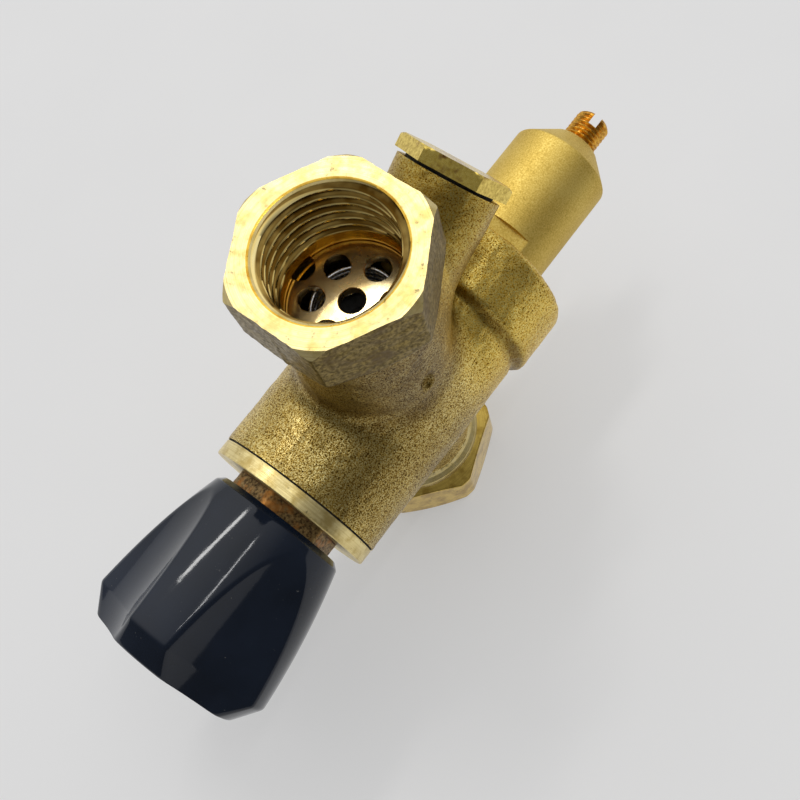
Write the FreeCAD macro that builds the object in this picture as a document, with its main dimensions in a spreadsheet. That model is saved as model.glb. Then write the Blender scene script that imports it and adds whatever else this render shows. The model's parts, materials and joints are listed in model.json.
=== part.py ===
import FreeCAD, Part
import os
import re
import Sketcher

# Pressure relief valve: a horizontal barrel crossed by a vertical line of inlet and outlet.
# +Z runs up the port line out of the threaded outlet, +X runs along the barrel towards the
# adjusting screw, and the origin is the middle of the union nut's lower face.
# All sizes are in millimetres. Stations along the barrel are X, heights are Z.

os.makedirs("parts", exist_ok=True)
doc = FreeCAD.newDocument("relief_valve")

SIZES = {
    # lines of the casting
    "axis_height": 33.0,
    "port_top": 77.0,
    "branch_rise": 18.8,
    "branch_angle": 27.0,
    # clearances
    "slip": 0.05,
    "running": 0.1,
    "edge": 0.4,
    # barrel and flange, outside
    "band_face": -26.5,
    "band_width": 2.6,
    "band_radius": 14.4,
    "barrel_radius": 14.5,
    "step_start": 14.0,
    "step_end": 15.4,
    "flange_radius": 15.9,
    "rim_start": 24.4,
    "flange_end": 27.0,
    "shoulder_radius": 9.8,
    # port neck and hexagon
    "neck_radius": 12.0,
    "port_hex_bottom": 67.5,
    "port_hex_flats": 26.0,
    "port_hex_corner": 15.2,
    "port_face_radius": 13.75,
    "port_chamfer": 1.8,
    # side branch and inlet boss
    "branch_radius": 8.2,
    "branch_length": 25.3,
    "boss_radius": 10.65,
    "boss_end": 10.0,
    "collar_radius": 11.85,
    "collar_height": 3.0,
    # outlet bore
    "thread_radius": 10.48,
    "mouth_radius": 10.75,
    "mouth_depth": 0.3,
    "outlet_thread_end": 64.5,
    "plate_bore": 9.55,
    "plate_bottom": 61.0,
    "plate_top": 62.55,
    "check_bore": 9.05,
    "check_floor": 47.0,
    "plenum_radius": 6.0,
    "plenum_floor": 44.0,
    "passage_radius": 3.3,
    "outlet_passage_station": 5.8,
    "inlet_passage_station": -7.6,
    # barrel bores
    "gasket_recess": 9.45,
    "gasket_depth": 0.6,
    "bonnet_bore": 8.45,
    "bonnet_depth": -17.0,
    "chamber_radius": 8.0,
    "web_half": 4.0,
    "insert_radius": 6.45,
    "insert_stop": 3.0,
    "insert_nose": 5.8,
    "housing_bore": 8.65,
    "housing_depth": 11.0,
    # inlet bores
    "tail_bore": 8.7,
    "tail_depth": 19.5,
    "inlet_plenum_radius": 7.4,
    "inlet_plenum_top": 21.5,
    # seat
    "orifice": 3.6,
    "lip_radius": 4.3,
    "lip_tip": 4.8,
    "seat_face": 4.2,
    # bonnet
    "bonnet_flats": 17.0,
    "bonnet_end": -33.0,
    "bonnet_spigot": 8.4,
    "spindle_thread": 4.9,
    "seal_station": -25.8,
    "seal_bore": 4.05,
    # spindle
    "spindle_tip": -9.5,
    "tip_radius": 2.3,
    "tip_shoulder": -13.4,
    "thread_back": -21.2,
    "stem_radius": 3.95,
    "stem_end": -34.0,
    "drive_radius": 3.2,
    "spindle_end": -50.0,
    "spindle_groove": -27.0,
    "groove_half": 0.75,
    "spindle_groove_radius": 2.85,
    # knob
    "knob_front": -28.8,
    "knob_front_radius": 11.0,
    "knob_shoulder": -29.6,
    "knob_shoulder_radius": 12.0,
    "knob_rim": -53.0,
    "knob_rim_radius": 16.1,
    "knob_side_arc": 125.0,
    "knob_end": -57.2,
    "knob_end_radius": 13.1,
    "knob_recess": 10.35,
    "knob_recess_end": -38.0,
    "knob_cup": 5.0,
    "knob_cup_floor": -51.5,
    "flute_floor": 12.3,
    "flute_radius": 45.0,
    # screws of 3 mm thread
    "small_screw": 1.5,
    "small_head": 2.7,
    "small_head_height": 1.4,
    # shut-off disc and relief disc, the same way about the seat
    "washer_radius": 5.6,
    "washer_back": 7.0,
    "disc_radius": 6.4,
    "disc_rim": 5.6,
    "disc_back": 9.0,
    "socket_radius": 4.2,
    "socket_end": -13.0,
    # relief piston
    "piston_neck": 3.2,
    "piston_start": 12.0,
    "piston_end": 17.0,
    "piston_radius": 7.5,
    "piston_bore": 7.6,
    "piston_bore_end": 21.0,
    "piston_groove": 14.5,
    "piston_groove_radius": 6.3,
    "pilot_radius": 3.4,
    "pilot_length": 3.0,
    # spring housing
    "housing_spigot": 8.6,
    "housing_radius": 9.05,
    "housing_flats": 16.5,
    "flats_end": 30.4,
    "cone_start": 47.7,
    "cone_end": 52.2,
    "cone_radius": 4.6,
    "spring_bore": 6.4,
    "spring_bore_end": 46.0,
    "housing_groove": 24.1,
    "housing_groove_radius": 7.45,
    # adjusting screw and spring button
    "screw_radius": 3.15,
    "screw_tip": 58.4,
    "screw_foot": 44.1,
    "screw_foot_radius": 2.4,
    "screw_foot_length": 0.9,
    "slot_width": 1.5,
    "slot_depth": 2.3,
    "slot_turn": 22.0,
    "button_radius": 6.2,
    "button_face": 41.0,
    "button_back": 43.5,
    # relief spring
    "relief_wire": 0.85,
    "relief_coil": 4.9,
    "relief_pitch": 3.2,
    # guide plate
    "plate_radius": 9.5,
    "hole_radius": 1.97,
    "hole_circle": 5.89,
    "notch_offset": 9.4,
    # check valve
    "seat_ring_inner": 5.0,
    "seat_ring_top": 49.5,
    "hub_radius": 2.8,
    "spoke_width": 1.6,
    "guide_hole": 1.7,
    "guide_radius": 1.6,
    "guide_end": 44.8,
    "check_seal_top": 51.0,
    "check_seal_radius": 7.0,
    "check_seal_inner": 3.0,
    "poppet_radius": 7.6,
    "poppet_top": 52.6,
    "poppet_pilot": 5.5,
    "poppet_pilot_top": 53.4,
    "stub_radius": 2.4,
    "stub_top": 56.0,
    "check_wire": 0.4,
    "check_coil": 6.5,
    "check_pitch": 1.65,
    # side plug
    "plug_flats": 15.5,
    "plug_thread": 6.5,
    "plug_bore": 6.6,
    "plug_depth": 15.5,
    "plug_foot": 16.5,
    "plug_gap": 0.5,
    "plug_head": 2.3,
    "plug_crown": 8.2,
    "branch_passage": 3.0,
    "branch_passage_start": 6.0,
    # inlet tail and union nut
    "tail_thread": 8.65,
    "tail_top": 18.5,
    "tail_shank": 7.2,
    "tail_shank_top": 10.2,
    "tail_flange": 10.2,
    "tail_bore_radius": 5.6,
    "nut_height": 9.6,
    "nut_flats": 25.4,
    "nut_corner": 14.1,
    "nut_crown": 11.6,
    "nut_crown_fall": 1.35,
    "nut_foot": 12.9,
    "nut_lip_radius": 7.4,
    "nut_lip_bottom": 7.4,
    "nut_relief_radius": 10.75,
    "flange_bottom": 5.6,
    "nut_thread_length": 4.4,
}

sheet = doc.addObject("Spreadsheet::Sheet", "Sizes")
for row, (alias, size) in enumerate(SIZES.items(), start=1):
    sheet.set(f"A{row}", alias)
    sheet.set(f"B{row}", str(size))
    sheet.setAlias(f"B{row}", alias)
doc.recompute()

ALIAS = re.compile(r"\b(" + "|".join(sorted(SIZES, key=len, reverse=True)) + r")\b")
SUBPARTS = []


def bound(words):
    """The same expression with each size's name pointing at the sheet."""
    return ALIAS.sub(r"Sizes.\1", words)


def size(words):
    """The value that an expression has now, for a sketch's first guess."""
    return float(sheet.evalExpression(words))


def bind(thing, **properties):
    """Bind properties to expressions; a double underscore stands for a dot."""
    for name, words in properties.items():
        thing.setExpression(name.replace("__", "."), bound(words))
    return thing


def keep(thing, label):
    """Name a finished sub-part, which is also its file's name."""
    thing.Label = label
    SUBPARTS.append(thing)
    return thing


def origin_feature(body, role):
    return next(feature for feature in body.Origin.OriginFeatures if feature.Role == role)


def turned(name, outline, line="barrel"):
    """Revolve an outline about a line of the valve.

    The outline is (station, radius) pairs, or (station, radius, arc radius) where the side
    that arrives at that corner, running towards +X, is an arc that bulges outwards.
    line is barrel or branch (stations along X before placing) or port (stations are heights).
    """
    upright = line == "port"
    body = doc.addObject("PartDesign::Body", name)
    sketch = body.newObject("Sketcher::SketchObject", name + "_outline")
    sketch.AttachmentSupport = [(origin_feature(body, "XZ_Plane" if upright else "XY_Plane"), "")]
    sketch.MapMode = "FlatFace"
    words = [(corner[1], corner[0]) if upright else (corner[0], corner[1]) for corner in outline]
    spots = [FreeCAD.Vector(size(across), size(up), 0) for across, up in words]
    count = len(spots)
    ends = []
    for index, spot in enumerate(spots):
        following = (index + 1) % count
        after = spots[following]
        if len(outline[following]) == 3:
            bulge = size(outline[following][2])
            rise = bulge - (bulge ** 2 - (after - spot).Length ** 2 / 4) ** 0.5
            crown = (spot + after) * 0.5 + FreeCAD.Vector(0, rise, 0)
            sketch.addGeometry(Part.Arc(after, crown, spot), False)
            ends.append((2, 1))
        else:
            sketch.addGeometry(Part.LineSegment(spot, after), False)
            ends.append((1, 2))
    for index in range(count):
        following = (index + 1) % count
        meeting = (index, ends[index][1], following, ends[following][0])
        sketch.addConstraint(Sketcher.Constraint("Coincident", *meeting))
    for index, (across, up) in enumerate(words):
        place = (index, ends[index][0])
        for kind, wanted, now in (
            ("DistanceX", across, spots[index].x),
            ("DistanceY", up, spots[index].y),
        ):
            tie = sketch.addConstraint(Sketcher.Constraint(kind, -1, 1, *place, now))
            sketch.setExpression(f"Constraints[{tie}]", bound(wanted))
        if len(outline[(index + 1) % count]) == 3:
            bulge = outline[(index + 1) % count][2]
            tie = sketch.addConstraint(Sketcher.Constraint("Radius", index, size(bulge)))
            sketch.setExpression(f"Constraints[{tie}]", bound(bulge))
    turning = body.newObject("PartDesign::Revolution", name + "_turning")
    turning.Profile = sketch
    turning.ReferenceAxis = (origin_feature(body, "Z_Axis" if upright else "X_Axis"), [""])
    turning.Angle = 360
    body.Tip = turning
    return put_on(body, line)


def put_on(thing, line, turn="0"):
    """Place something made along X on the barrel or branch line, turned about that line."""
    if line == "barrel":
        thing.Placement = FreeCAD.Placement(
            FreeCAD.Vector(0, 0, size("axis_height")), FreeCAD.Rotation()
        )
        bind(thing, Placement__Base__z="axis_height")
    if line == "branch":
        thing.Placement = FreeCAD.Placement(
            FreeCAD.Vector(0, 0, size("axis_height + branch_rise")),
            FreeCAD.Rotation(FreeCAD.Vector(0, -1, 0), size("branch_angle")),
        )
        bind(
            thing,
            Placement__Base__z="axis_height + branch_rise",
            Placement__Rotation__Angle="branch_angle",
        )
    return thing


def cylinder(name, radius, length, base=(0, 0, 0), direction=(0, 0, 1), **places):
    """A Part::Cylinder whose radius, length and stated placement terms are expressions."""
    rod = doc.addObject("Part::Cylinder", name)
    rod.Placement = FreeCAD.Placement(
        FreeCAD.Vector(*base), FreeCAD.Rotation(FreeCAD.Vector(0, 0, 1), FreeCAD.Vector(*direction))
    )
    return bind(rod, Radius=radius, Height=length, **places)


def prism(name, flats, height, placement):
    """A hexagonal Part::Prism of a given width across flats."""
    bar = doc.addObject("Part::Prism", name)
    bar.Polygon = 6
    bar.Placement = placement
    return bind(bar, Circumradius=f"{flats} / sqrt(3)", Height=height)


def joined(name, *things):
    union = doc.addObject("Part::MultiFuse", name)
    union.Shapes = list(things)
    return union


def cut(name, base, tool):
    result = doc.addObject("Part::Cut", name)
    result.Base = base
    result.Tool = tool
    return result


def common(name, base, tool):
    result = doc.addObject("Part::Common", name)
    result.Base = base
    result.Tool = tool
    return result


def along_barrel(station, spin):
    """The placement of a prism or rod that starts at a station and runs along +X.

    spin is the angle in degrees of its first corner or side, from +Z towards -Y.
    """
    lying = FreeCAD.Rotation(FreeCAD.Vector(0, 1, 0), 90)
    spun = FreeCAD.Rotation(FreeCAD.Vector(1, 0, 0), spin)
    return FreeCAD.Placement(FreeCAD.Vector(station, 0, size("axis_height")), spun * lying)


def ring(name, label, section, mean, station, line="barrel"):
    """An O-ring on the barrel line."""
    torus = doc.addObject("Part::Torus", name)
    torus.Placement = FreeCAD.Placement(
        FreeCAD.Vector(size(station), 0, size("axis_height")),
        FreeCAD.Rotation(FreeCAD.Vector(0, 1, 0), 90),
    )
    bind(
        torus,
        Radius1=mean,
        Radius2=section,
        Placement__Base__x=station,
        Placement__Base__z="axis_height",
    )
    return keep(torus, label)


def spring(name, label, wire, coil, pitch, low, high, upright):
    """A round-wire coil spring that just clears the two faces it stands between."""
    helix = doc.addObject("Part::Helix", name + "_helix")
    circle = doc.addObject("Part::Circle", name + "_wire")
    first = size(f"{low} + {wire} + slip")
    base = FreeCAD.Vector(0, 0, first)
    turn = FreeCAD.Rotation()
    if not upright:
        base = FreeCAD.Vector(first, 0, size("axis_height"))
        turn = FreeCAD.Rotation(FreeCAD.Vector(0, 1, 0), 90)
    helix.Placement = FreeCAD.Placement(base, turn)
    bind(helix, Radius=coil, Pitch=pitch, Height=f"{high} - {low} - 2 * ({wire} + slip)")
    start = base + turn.multVec(FreeCAD.Vector(size(coil), 0, 0))
    facing = turn * FreeCAD.Rotation(FreeCAD.Vector(1, 0, 0), 90)
    circle.Placement = FreeCAD.Placement(start, facing)
    bind(circle, Radius=wire)
    sweep = doc.addObject("Part::Sweep", name)
    sweep.Sections = [circle]
    sweep.Spine = (helix, ["Edge1"])
    sweep.Solid = True
    sweep.Frenet = True
    return keep(sweep, label)


def valve_body():
    """The casting: barrel with flange, port neck with hexagon, side branch and inlet boss."""
    barrel = turned("barrel_outside", [
        ("band_face", "0"),
        ("band_face", "band_radius - edge"),
        ("band_face + edge", "band_radius"),
        ("band_face + band_width", "band_radius"),
        ("band_face + band_width", "barrel_radius"),
        ("step_start", "barrel_radius"),
        ("step_end", "flange_radius - edge"),
        ("step_end + edge", "flange_radius"),
        ("rim_start", "flange_radius"),
        ("rim_start + 2 * edge", "flange_radius - 2 * edge"),
        ("flange_end - edge", "shoulder_radius"),
        ("flange_end", "shoulder_radius"),
        ("flange_end", "0"),
    ])
    neck = cylinder("port_neck", "neck_radius", "port_hex_bottom - axis_height")
    bind(neck, Placement__Base__z="axis_height")
    hexagon = prism(
        "port_hexagon_bar",
        "port_hex_flats",
        "port_top - port_hex_bottom",
        FreeCAD.Placement(
            FreeCAD.Vector(0, 0, size("port_hex_bottom")),
            FreeCAD.Rotation(FreeCAD.Vector(0, 0, 1), 30),
        ),
    )
    bind(hexagon, Placement__Base__z="port_hex_bottom")
    hexagon_blank = turned("port_hexagon_blank", [
        ("port_hex_bottom", "0"),
        ("port_hex_bottom", "port_hex_corner - edge"),
        ("port_hex_bottom + edge", "port_hex_corner"),
        ("port_top - port_chamfer", "port_hex_corner"),
        ("port_top", "port_face_radius"),
        ("port_top", "0"),
    ], "port")
    branch = turned("branch_outside", [
        ("0", "0"),
        ("0", "branch_radius"),
        ("branch_length", "branch_radius"),
        ("branch_length", "0"),
    ], "branch")
    boss = turned("boss_outside", [
        ("boss_end", "0"),
        ("boss_end", "collar_radius"),
        ("boss_end + edge", "collar_radius"),
        ("boss_end + collar_height", "boss_radius"),
        ("axis_height", "boss_radius"),
        ("axis_height", "0"),
    ], "port")
    outside = joined(
        "body_outside",
        barrel,
        neck,
        common("port_hexagon", hexagon_blank, hexagon),
        branch,
        boss,
    )
    barrel_bore = turned("barrel_bore", [
        ("band_face", "0"),
        ("band_face", "gasket_recess"),
        ("band_face + gasket_depth", "gasket_recess"),
        ("band_face + gasket_depth", "bonnet_bore"),
        ("bonnet_depth", "bonnet_bore"),
        ("bonnet_depth", "chamber_radius"),
        ("-web_half", "chamber_radius"),
        ("-web_half", "insert_radius + slip"),
        ("insert_stop", "insert_radius + slip"),
        ("insert_stop", "insert_nose + slip"),
        ("web_half", "insert_nose + slip"),
        ("web_half", "chamber_radius"),
        ("housing_depth", "chamber_radius"),
        ("housing_depth", "housing_bore"),
        ("flange_end", "housing_bore"),
        ("flange_end", "0"),
    ])
    outlet_bore = turned("outlet_bore", [
        ("plenum_floor", "0"),
        ("plenum_floor", "plenum_radius"),
        ("check_floor", "plenum_radius"),
        ("check_floor", "check_bore"),
        ("plate_bottom", "check_bore"),
        ("plate_bottom", "plate_bore"),
        ("plate_top + 2 * edge", "plate_bore"),
        ("outlet_thread_end", "thread_radius"),
        ("port_top - mouth_depth", "thread_radius"),
        ("port_top", "mouth_radius"),
        ("port_top", "0"),
    ], "port")
    outlet_passage = cylinder(
        "outlet_passage", "passage_radius", "plenum_floor + edge - axis_height - passage_radius",
        Placement__Base__x="outlet_passage_station",
        Placement__Base__z="axis_height + passage_radius",
    )
    inlet_bore = turned("inlet_bore", [
        ("boss_end", "0"),
        ("boss_end", "tail_bore"),
        ("tail_depth", "tail_bore"),
        ("tail_depth", "inlet_plenum_radius"),
        ("inlet_plenum_top", "inlet_plenum_radius"),
        ("inlet_plenum_top", "0"),
    ], "port")
    inlet_passage = cylinder(
        "inlet_passage", "passage_radius", "axis_height - inlet_plenum_top - passage_radius + edge",
        Placement__Base__x="inlet_passage_station",
        Placement__Base__z="inlet_plenum_top - edge",
    )
    branch_bore = turned("branch_bore", [
        ("branch_passage_start", "0"),
        ("branch_passage_start", "branch_passage"),
        ("plug_depth", "branch_passage"),
        ("plug_depth", "plug_bore"),
        ("branch_length", "plug_bore"),
        ("branch_length", "0"),
    ], "branch")
    bores = joined(
        "body_bores",
        barrel_bore,
        outlet_bore,
        outlet_passage,
        inlet_bore,
        inlet_passage,
        branch_bore,
    )
    keep(cut("body_casting", outside, bores), "valve_body")


def seat_insert():
    """The two-faced seat ring between the shut-off disc and the relief disc."""
    keep(turned("seat_ring", [
        ("-lip_tip", "orifice"),
        ("-lip_tip", "lip_radius"),
        ("-seat_face", "lip_radius + edge"),
        ("-seat_face", "insert_radius"),
        ("insert_stop", "insert_radius"),
        ("insert_stop", "insert_nose"),
        ("seat_face", "insert_nose"),
        ("seat_face", "lip_radius + edge"),
        ("lip_tip", "lip_radius"),
        ("lip_tip", "orifice"),
    ]), "seat_insert")


def bonnet_and_gasket():
    """The hexagonal neck that carries the spindle, and the ring under its head."""
    blank = turned("bonnet_blank", [
        ("bonnet_end", "seal_bore"),
        ("bonnet_end", "bonnet_flats / 2"),
        ("bonnet_end + 3 * edge", "bonnet_flats / 2 + 3 * edge"),
        ("band_face", "bonnet_flats / 2 + 3 * edge"),
        ("band_face", "bonnet_spigot"),
        ("bonnet_depth - slip", "bonnet_spigot"),
        ("bonnet_depth - slip", "spindle_thread + running"),
        ("seal_station", "spindle_thread + running"),
        ("seal_station", "seal_bore"),
    ])
    bar = prism(
        "bonnet_bar", "bonnet_flats", "bonnet_depth - bonnet_end",
        along_barrel(size("bonnet_end"), 0),
    )
    bind(bar, Placement__Base__x="bonnet_end", Placement__Base__z="axis_height")
    keep(common("bonnet_hexagon", blank, bar), "bonnet")
    keep(turned("bonnet_ring", [
        ("band_face", "bonnet_spigot + slip"),
        ("band_face", "gasket_recess - slip"),
        ("band_face + gasket_depth", "gasket_recess - slip"),
        ("band_face + gasket_depth", "bonnet_spigot + slip"),
    ]), "bonnet_gasket")


def spindle_and_seal():
    """The screwed stem that the knob turns, and its O-ring."""
    keep(turned("spindle_blank", [
        ("spindle_tip", "0"),
        ("spindle_tip", "tip_radius - edge"),
        ("spindle_tip - edge", "tip_radius"),
        ("tip_shoulder", "tip_radius"),
        ("tip_shoulder", "spindle_thread - edge"),
        ("tip_shoulder - edge", "spindle_thread"),
        ("thread_back + edge", "spindle_thread"),
        ("thread_back", "spindle_thread - edge"),
        ("thread_back", "stem_radius"),
        ("spindle_groove + groove_half", "stem_radius"),
        ("spindle_groove + groove_half", "spindle_groove_radius"),
        ("spindle_groove - groove_half", "spindle_groove_radius"),
        ("spindle_groove - groove_half", "stem_radius"),
        ("stem_end", "stem_radius"),
        ("stem_end", "drive_radius"),
        ("spindle_end", "drive_radius"),
        ("spindle_end", "small_screw + slip"),
        ("spindle_end + 8", "small_screw + slip"),
        ("spindle_end + 8", "0"),
    ]), "spindle")
    ring(
        "spindle_ring", "spindle_seal_ring",
        "(seal_bore - slip - spindle_groove_radius) / 2",
        "(seal_bore - slip + spindle_groove_radius) / 2",
        "spindle_groove",
    )


def knob():
    """The four-lobed grip, hollowed to pass over the bonnet's hexagon."""
    blank = turned("knob_blank", [
        ("knob_end", "knob_cup"),
        ("knob_end", "knob_end_radius"),
        ("knob_rim", "knob_rim_radius"),
        ("knob_shoulder", "knob_shoulder_radius", "knob_side_arc"),
        ("knob_front", "knob_front_radius"),
        ("knob_front", "knob_recess"),
        ("knob_recess_end", "knob_recess"),
        ("knob_recess_end", "drive_radius + slip"),
        ("spindle_end", "drive_radius + slip"),
        ("spindle_end", "small_screw + running"),
        ("knob_cup_floor", "small_screw + running"),
        ("knob_cup_floor", "knob_cup"),
    ])
    flutes = []
    for turn in (45, 135, 225, 315):
        offset = size("flute_floor + flute_radius")
        spun = FreeCAD.Rotation(FreeCAD.Vector(1, 0, 0), turn)
        middle = spun.multVec(FreeCAD.Vector(0, 0, offset))
        base = (size("knob_end") - 1, middle.y, middle.z + size("axis_height"))
        flutes.append(cylinder(
            f"knob_flute_{turn}", "flute_radius", "knob_front - knob_end + 2", base, (1, 0, 0),
            Placement__Base__x="knob_end - 1",
            Placement__Base__y=f"-(flute_floor + flute_radius) * sin({turn} deg)",
            Placement__Base__z=f"axis_height + (flute_floor + flute_radius) * cos({turn} deg)",
        ))
    keep(cut("knob_fluted", blank, joined("knob_flutes", *flutes)), "knob")


def small_screw(name, label, head_face, head_side, shank_end):
    """A cheese-head screw along the barrel line; head_side is + or -, away from the shank."""
    keep(turned(name, [
        (f"{head_face} {head_side} small_head_height", "0"),
        (f"{head_face} {head_side} small_head_height", "small_head - edge"),
        (f"{head_face} {head_side} (small_head_height - edge)", "small_head"),
        (head_face, "small_head"),
        (head_face, "small_screw"),
        (shank_end, "small_screw"),
        (shank_end, "0"),
    ]), label)


def knob_fastenings():
    """The screw that holds the knob to the spindle, and the cap over it."""
    small_screw("knob_fixing", "knob_screw", "knob_cup_floor", "-", "spindle_end + 7")
    keep(turned("cap_blank", [
        ("knob_end + edge", "0"),
        ("knob_end + edge", "knob_cup - slip - edge"),
        ("knob_end + 2 * edge", "knob_cup - slip"),
        ("knob_cup_floor - small_head_height", "knob_cup - slip"),
        ("knob_cup_floor - small_head_height", "knob_cup - 1"),
        ("knob_end + 1.4", "knob_cup - 1"),
        ("knob_end + 1.4", "0"),
    ]), "knob_cap")


def shut_off_disc():
    """The disc that closes the seat from the knob's side, its washer and its screw."""
    keep(turned("holder_blank", [
        ("-disc_rim", "washer_radius + slip"),
        ("-disc_rim", "disc_radius"),
        ("-disc_back", "disc_radius"),
        ("-disc_back", "socket_radius"),
        ("socket_end", "socket_radius"),
        ("socket_end", "tip_radius + running"),
        ("spindle_tip + running", "tip_radius + running"),
        ("spindle_tip + running", "0"),
        ("-8.7", "0"),
        ("-8.7", "small_screw + slip"),
        ("-washer_back", "small_screw + slip"),
        ("-washer_back", "washer_radius + slip"),
    ]), "disc_holder")
    keep(turned("shutoff_ring", [
        ("-washer_back", "small_screw + slip"),
        ("-washer_back", "washer_radius"),
        ("-lip_tip", "washer_radius"),
        ("-lip_tip", "small_screw + slip"),
    ]), "shutoff_washer")
    small_screw("shutoff_fixing", "washer_screw", "-lip_tip", "+", "-8.5")


def relief_group():
    """The spring-loaded piston, its seat disc, the disc's screw and the piston's O-ring."""
    keep(turned("piston_blank", [
        ("disc_rim", "washer_radius + slip"),
        ("disc_rim", "disc_radius"),
        ("disc_back", "disc_radius"),
        ("disc_back", "piston_neck"),
        ("piston_start", "piston_neck"),
        ("piston_start", "piston_radius - edge"),
        ("piston_start + edge", "piston_radius"),
        ("piston_groove - groove_half", "piston_radius"),
        ("piston_groove - groove_half", "piston_groove_radius"),
        ("piston_groove + groove_half", "piston_groove_radius"),
        ("piston_groove + groove_half", "piston_radius"),
        ("piston_end - edge", "piston_radius"),
        ("piston_end", "piston_radius - edge"),
        ("piston_end", "pilot_radius"),
        ("piston_end + pilot_length - edge", "pilot_radius"),
        ("piston_end + pilot_length", "pilot_radius - edge"),
        ("piston_end + pilot_length", "0"),
        ("11", "0"),
        ("11", "small_screw + slip"),
        ("washer_back", "small_screw + slip"),
        ("washer_back", "washer_radius + slip"),
    ]), "relief_piston")
    keep(turned("relief_disc", [
        ("washer_back", "small_screw + slip"),
        ("washer_back", "washer_radius"),
        ("lip_tip", "washer_radius"),
        ("lip_tip", "small_screw + slip"),
    ]), "relief_seal")
    small_screw("relief_fixing", "relief_seal_screw", "lip_tip", "-", "10.6")
    ring(
        "piston_ring", "piston_seal_ring",
        "(piston_bore - slip - piston_groove_radius) / 2",
        "(piston_bore - slip + piston_groove_radius) / 2",
        "piston_groove",
    )


def spring_housing():
    """The turned housing over the relief spring, with two wrench flats, and its O-ring."""
    blank = turned("housing_blank", [
        ("housing_depth + slip", "piston_bore"),
        ("housing_depth + slip", "housing_spigot - edge"),
        ("housing_depth + slip + edge", "housing_spigot"),
        ("housing_groove - groove_half", "housing_spigot"),
        ("housing_groove - groove_half", "housing_groove_radius"),
        ("housing_groove + groove_half", "housing_groove_radius"),
        ("housing_groove + groove_half", "housing_spigot"),
        ("flange_end", "housing_spigot"),
        ("flange_end", "housing_radius"),
        ("cone_start", "housing_radius"),
        ("cone_end", "cone_radius"),
        ("cone_end", "screw_radius + running"),
        ("spring_bore_end", "screw_radius + running"),
        ("spring_bore_end", "spring_bore"),
        ("piston_bore_end", "spring_bore"),
        ("piston_bore_end", "piston_bore"),
    ])
    band = cylinder(
        "flats_band", "housing_radius + 1", "flats_end - flange_end",
        (size("flange_end"), 0, size("axis_height")), (1, 0, 0),
        Placement__Base__x="flange_end", Placement__Base__z="axis_height",
    )
    bar = doc.addObject("Part::Box", "flats_bar")
    spun = FreeCAD.Rotation(FreeCAD.Vector(1, 0, 0), size("slot_turn"))
    reach = size("housing_radius") + 2
    corner = spun.multVec(FreeCAD.Vector(0, -reach, -size("housing_flats") / 2))
    bar.Placement = FreeCAD.Placement(
        FreeCAD.Vector(size("flange_end"), corner.y, corner.z + size("axis_height")), spun
    )
    bind(
        bar,
        Length="flats_end - flange_end",
        Width="2 * (housing_radius + 2)",
        Height="housing_flats",
        Placement__Base__x="flange_end",
    )
    keep(cut("housing_with_flats", blank, cut("flats_cutter", band, bar)), "spring_housing")
    ring(
        "housing_ring", "housing_seal_ring",
        "(housing_spigot - housing_groove_radius) / 2",
        "(housing_spigot + housing_groove_radius) / 2",
        "housing_groove",
    )


def adjusting_screw():
    """The slotted screw that sets the relief pressure, and the button it pushes."""
    blank = turned("screw_blank", [
        ("screw_foot", "0"),
        ("screw_foot", "screw_foot_radius"),
        ("screw_foot + screw_foot_length", "screw_foot_radius"),
        ("screw_foot + screw_foot_length + edge", "screw_radius"),
        ("screw_tip - edge", "screw_radius"),
        ("screw_tip", "screw_radius - edge"),
        ("screw_tip", "0"),
    ])
    slot = doc.addObject("Part::Box", "screw_slot")
    spun = FreeCAD.Rotation(FreeCAD.Vector(1, 0, 0), size("slot_turn"))
    reach = size("screw_radius + 1")
    corner = spun.multVec(FreeCAD.Vector(0, -size("slot_width") / 2, -reach))
    slot.Placement = FreeCAD.Placement(
        FreeCAD.Vector(size("screw_tip - slot_depth"), corner.y, corner.z + size("axis_height")), spun
    )
    bind(
        slot,
        Length="slot_depth + 1",
        Width="slot_width",
        Height="2 * (screw_radius + 1)",
        Placement__Base__x="screw_tip - slot_depth",
    )
    keep(cut("screw_slotted", blank, slot), "adjusting_screw")
    keep(turned("button_blank", [
        ("button_face - pilot_length", "0"),
        ("button_face - pilot_length", "pilot_radius - edge"),
        ("button_face - pilot_length + edge", "pilot_radius"),
        ("button_face", "pilot_radius"),
        ("button_face", "button_radius - edge"),
        ("button_face + edge", "button_radius"),
        ("button_back", "button_radius"),
        ("button_back", "screw_foot_radius + edge"),
        ("screw_foot - slip", "screw_foot_radius"),
        ("screw_foot - slip", "0"),
    ]), "spring_button")


def guide_plate():
    """The perforated plate that holds the check spring, with two notches for a pin wrench."""
    plate = cylinder("plate_disc", "plate_radius", "plate_top - plate_bottom")
    bind(plate, Placement__Base__z="plate_bottom")
    holes = []
    for number in range(7):
        hole = cylinder(f"plate_hole_{number}", "hole_radius", "plate_top - plate_bottom + 2")
        bind(hole, Placement__Base__z="plate_bottom - 1")
        if number:
            turn = 60 * number
            bind(
                hole,
                Placement__Base__x=f"hole_circle * cos({turn} deg)",
                Placement__Base__y=f"hole_circle * sin({turn} deg)",
            )
        holes.append(hole)
    for side in ("", "-"):
        notch = cylinder("plate_notch", "hole_radius", "plate_top - plate_bottom + 2")
        bind(notch, Placement__Base__z="plate_bottom - 1", Placement__Base__y=side + "notch_offset")
        holes.append(notch)
    keep(cut("plate_drilled", plate, joined("plate_holes", *holes)), "guide_plate")


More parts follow.
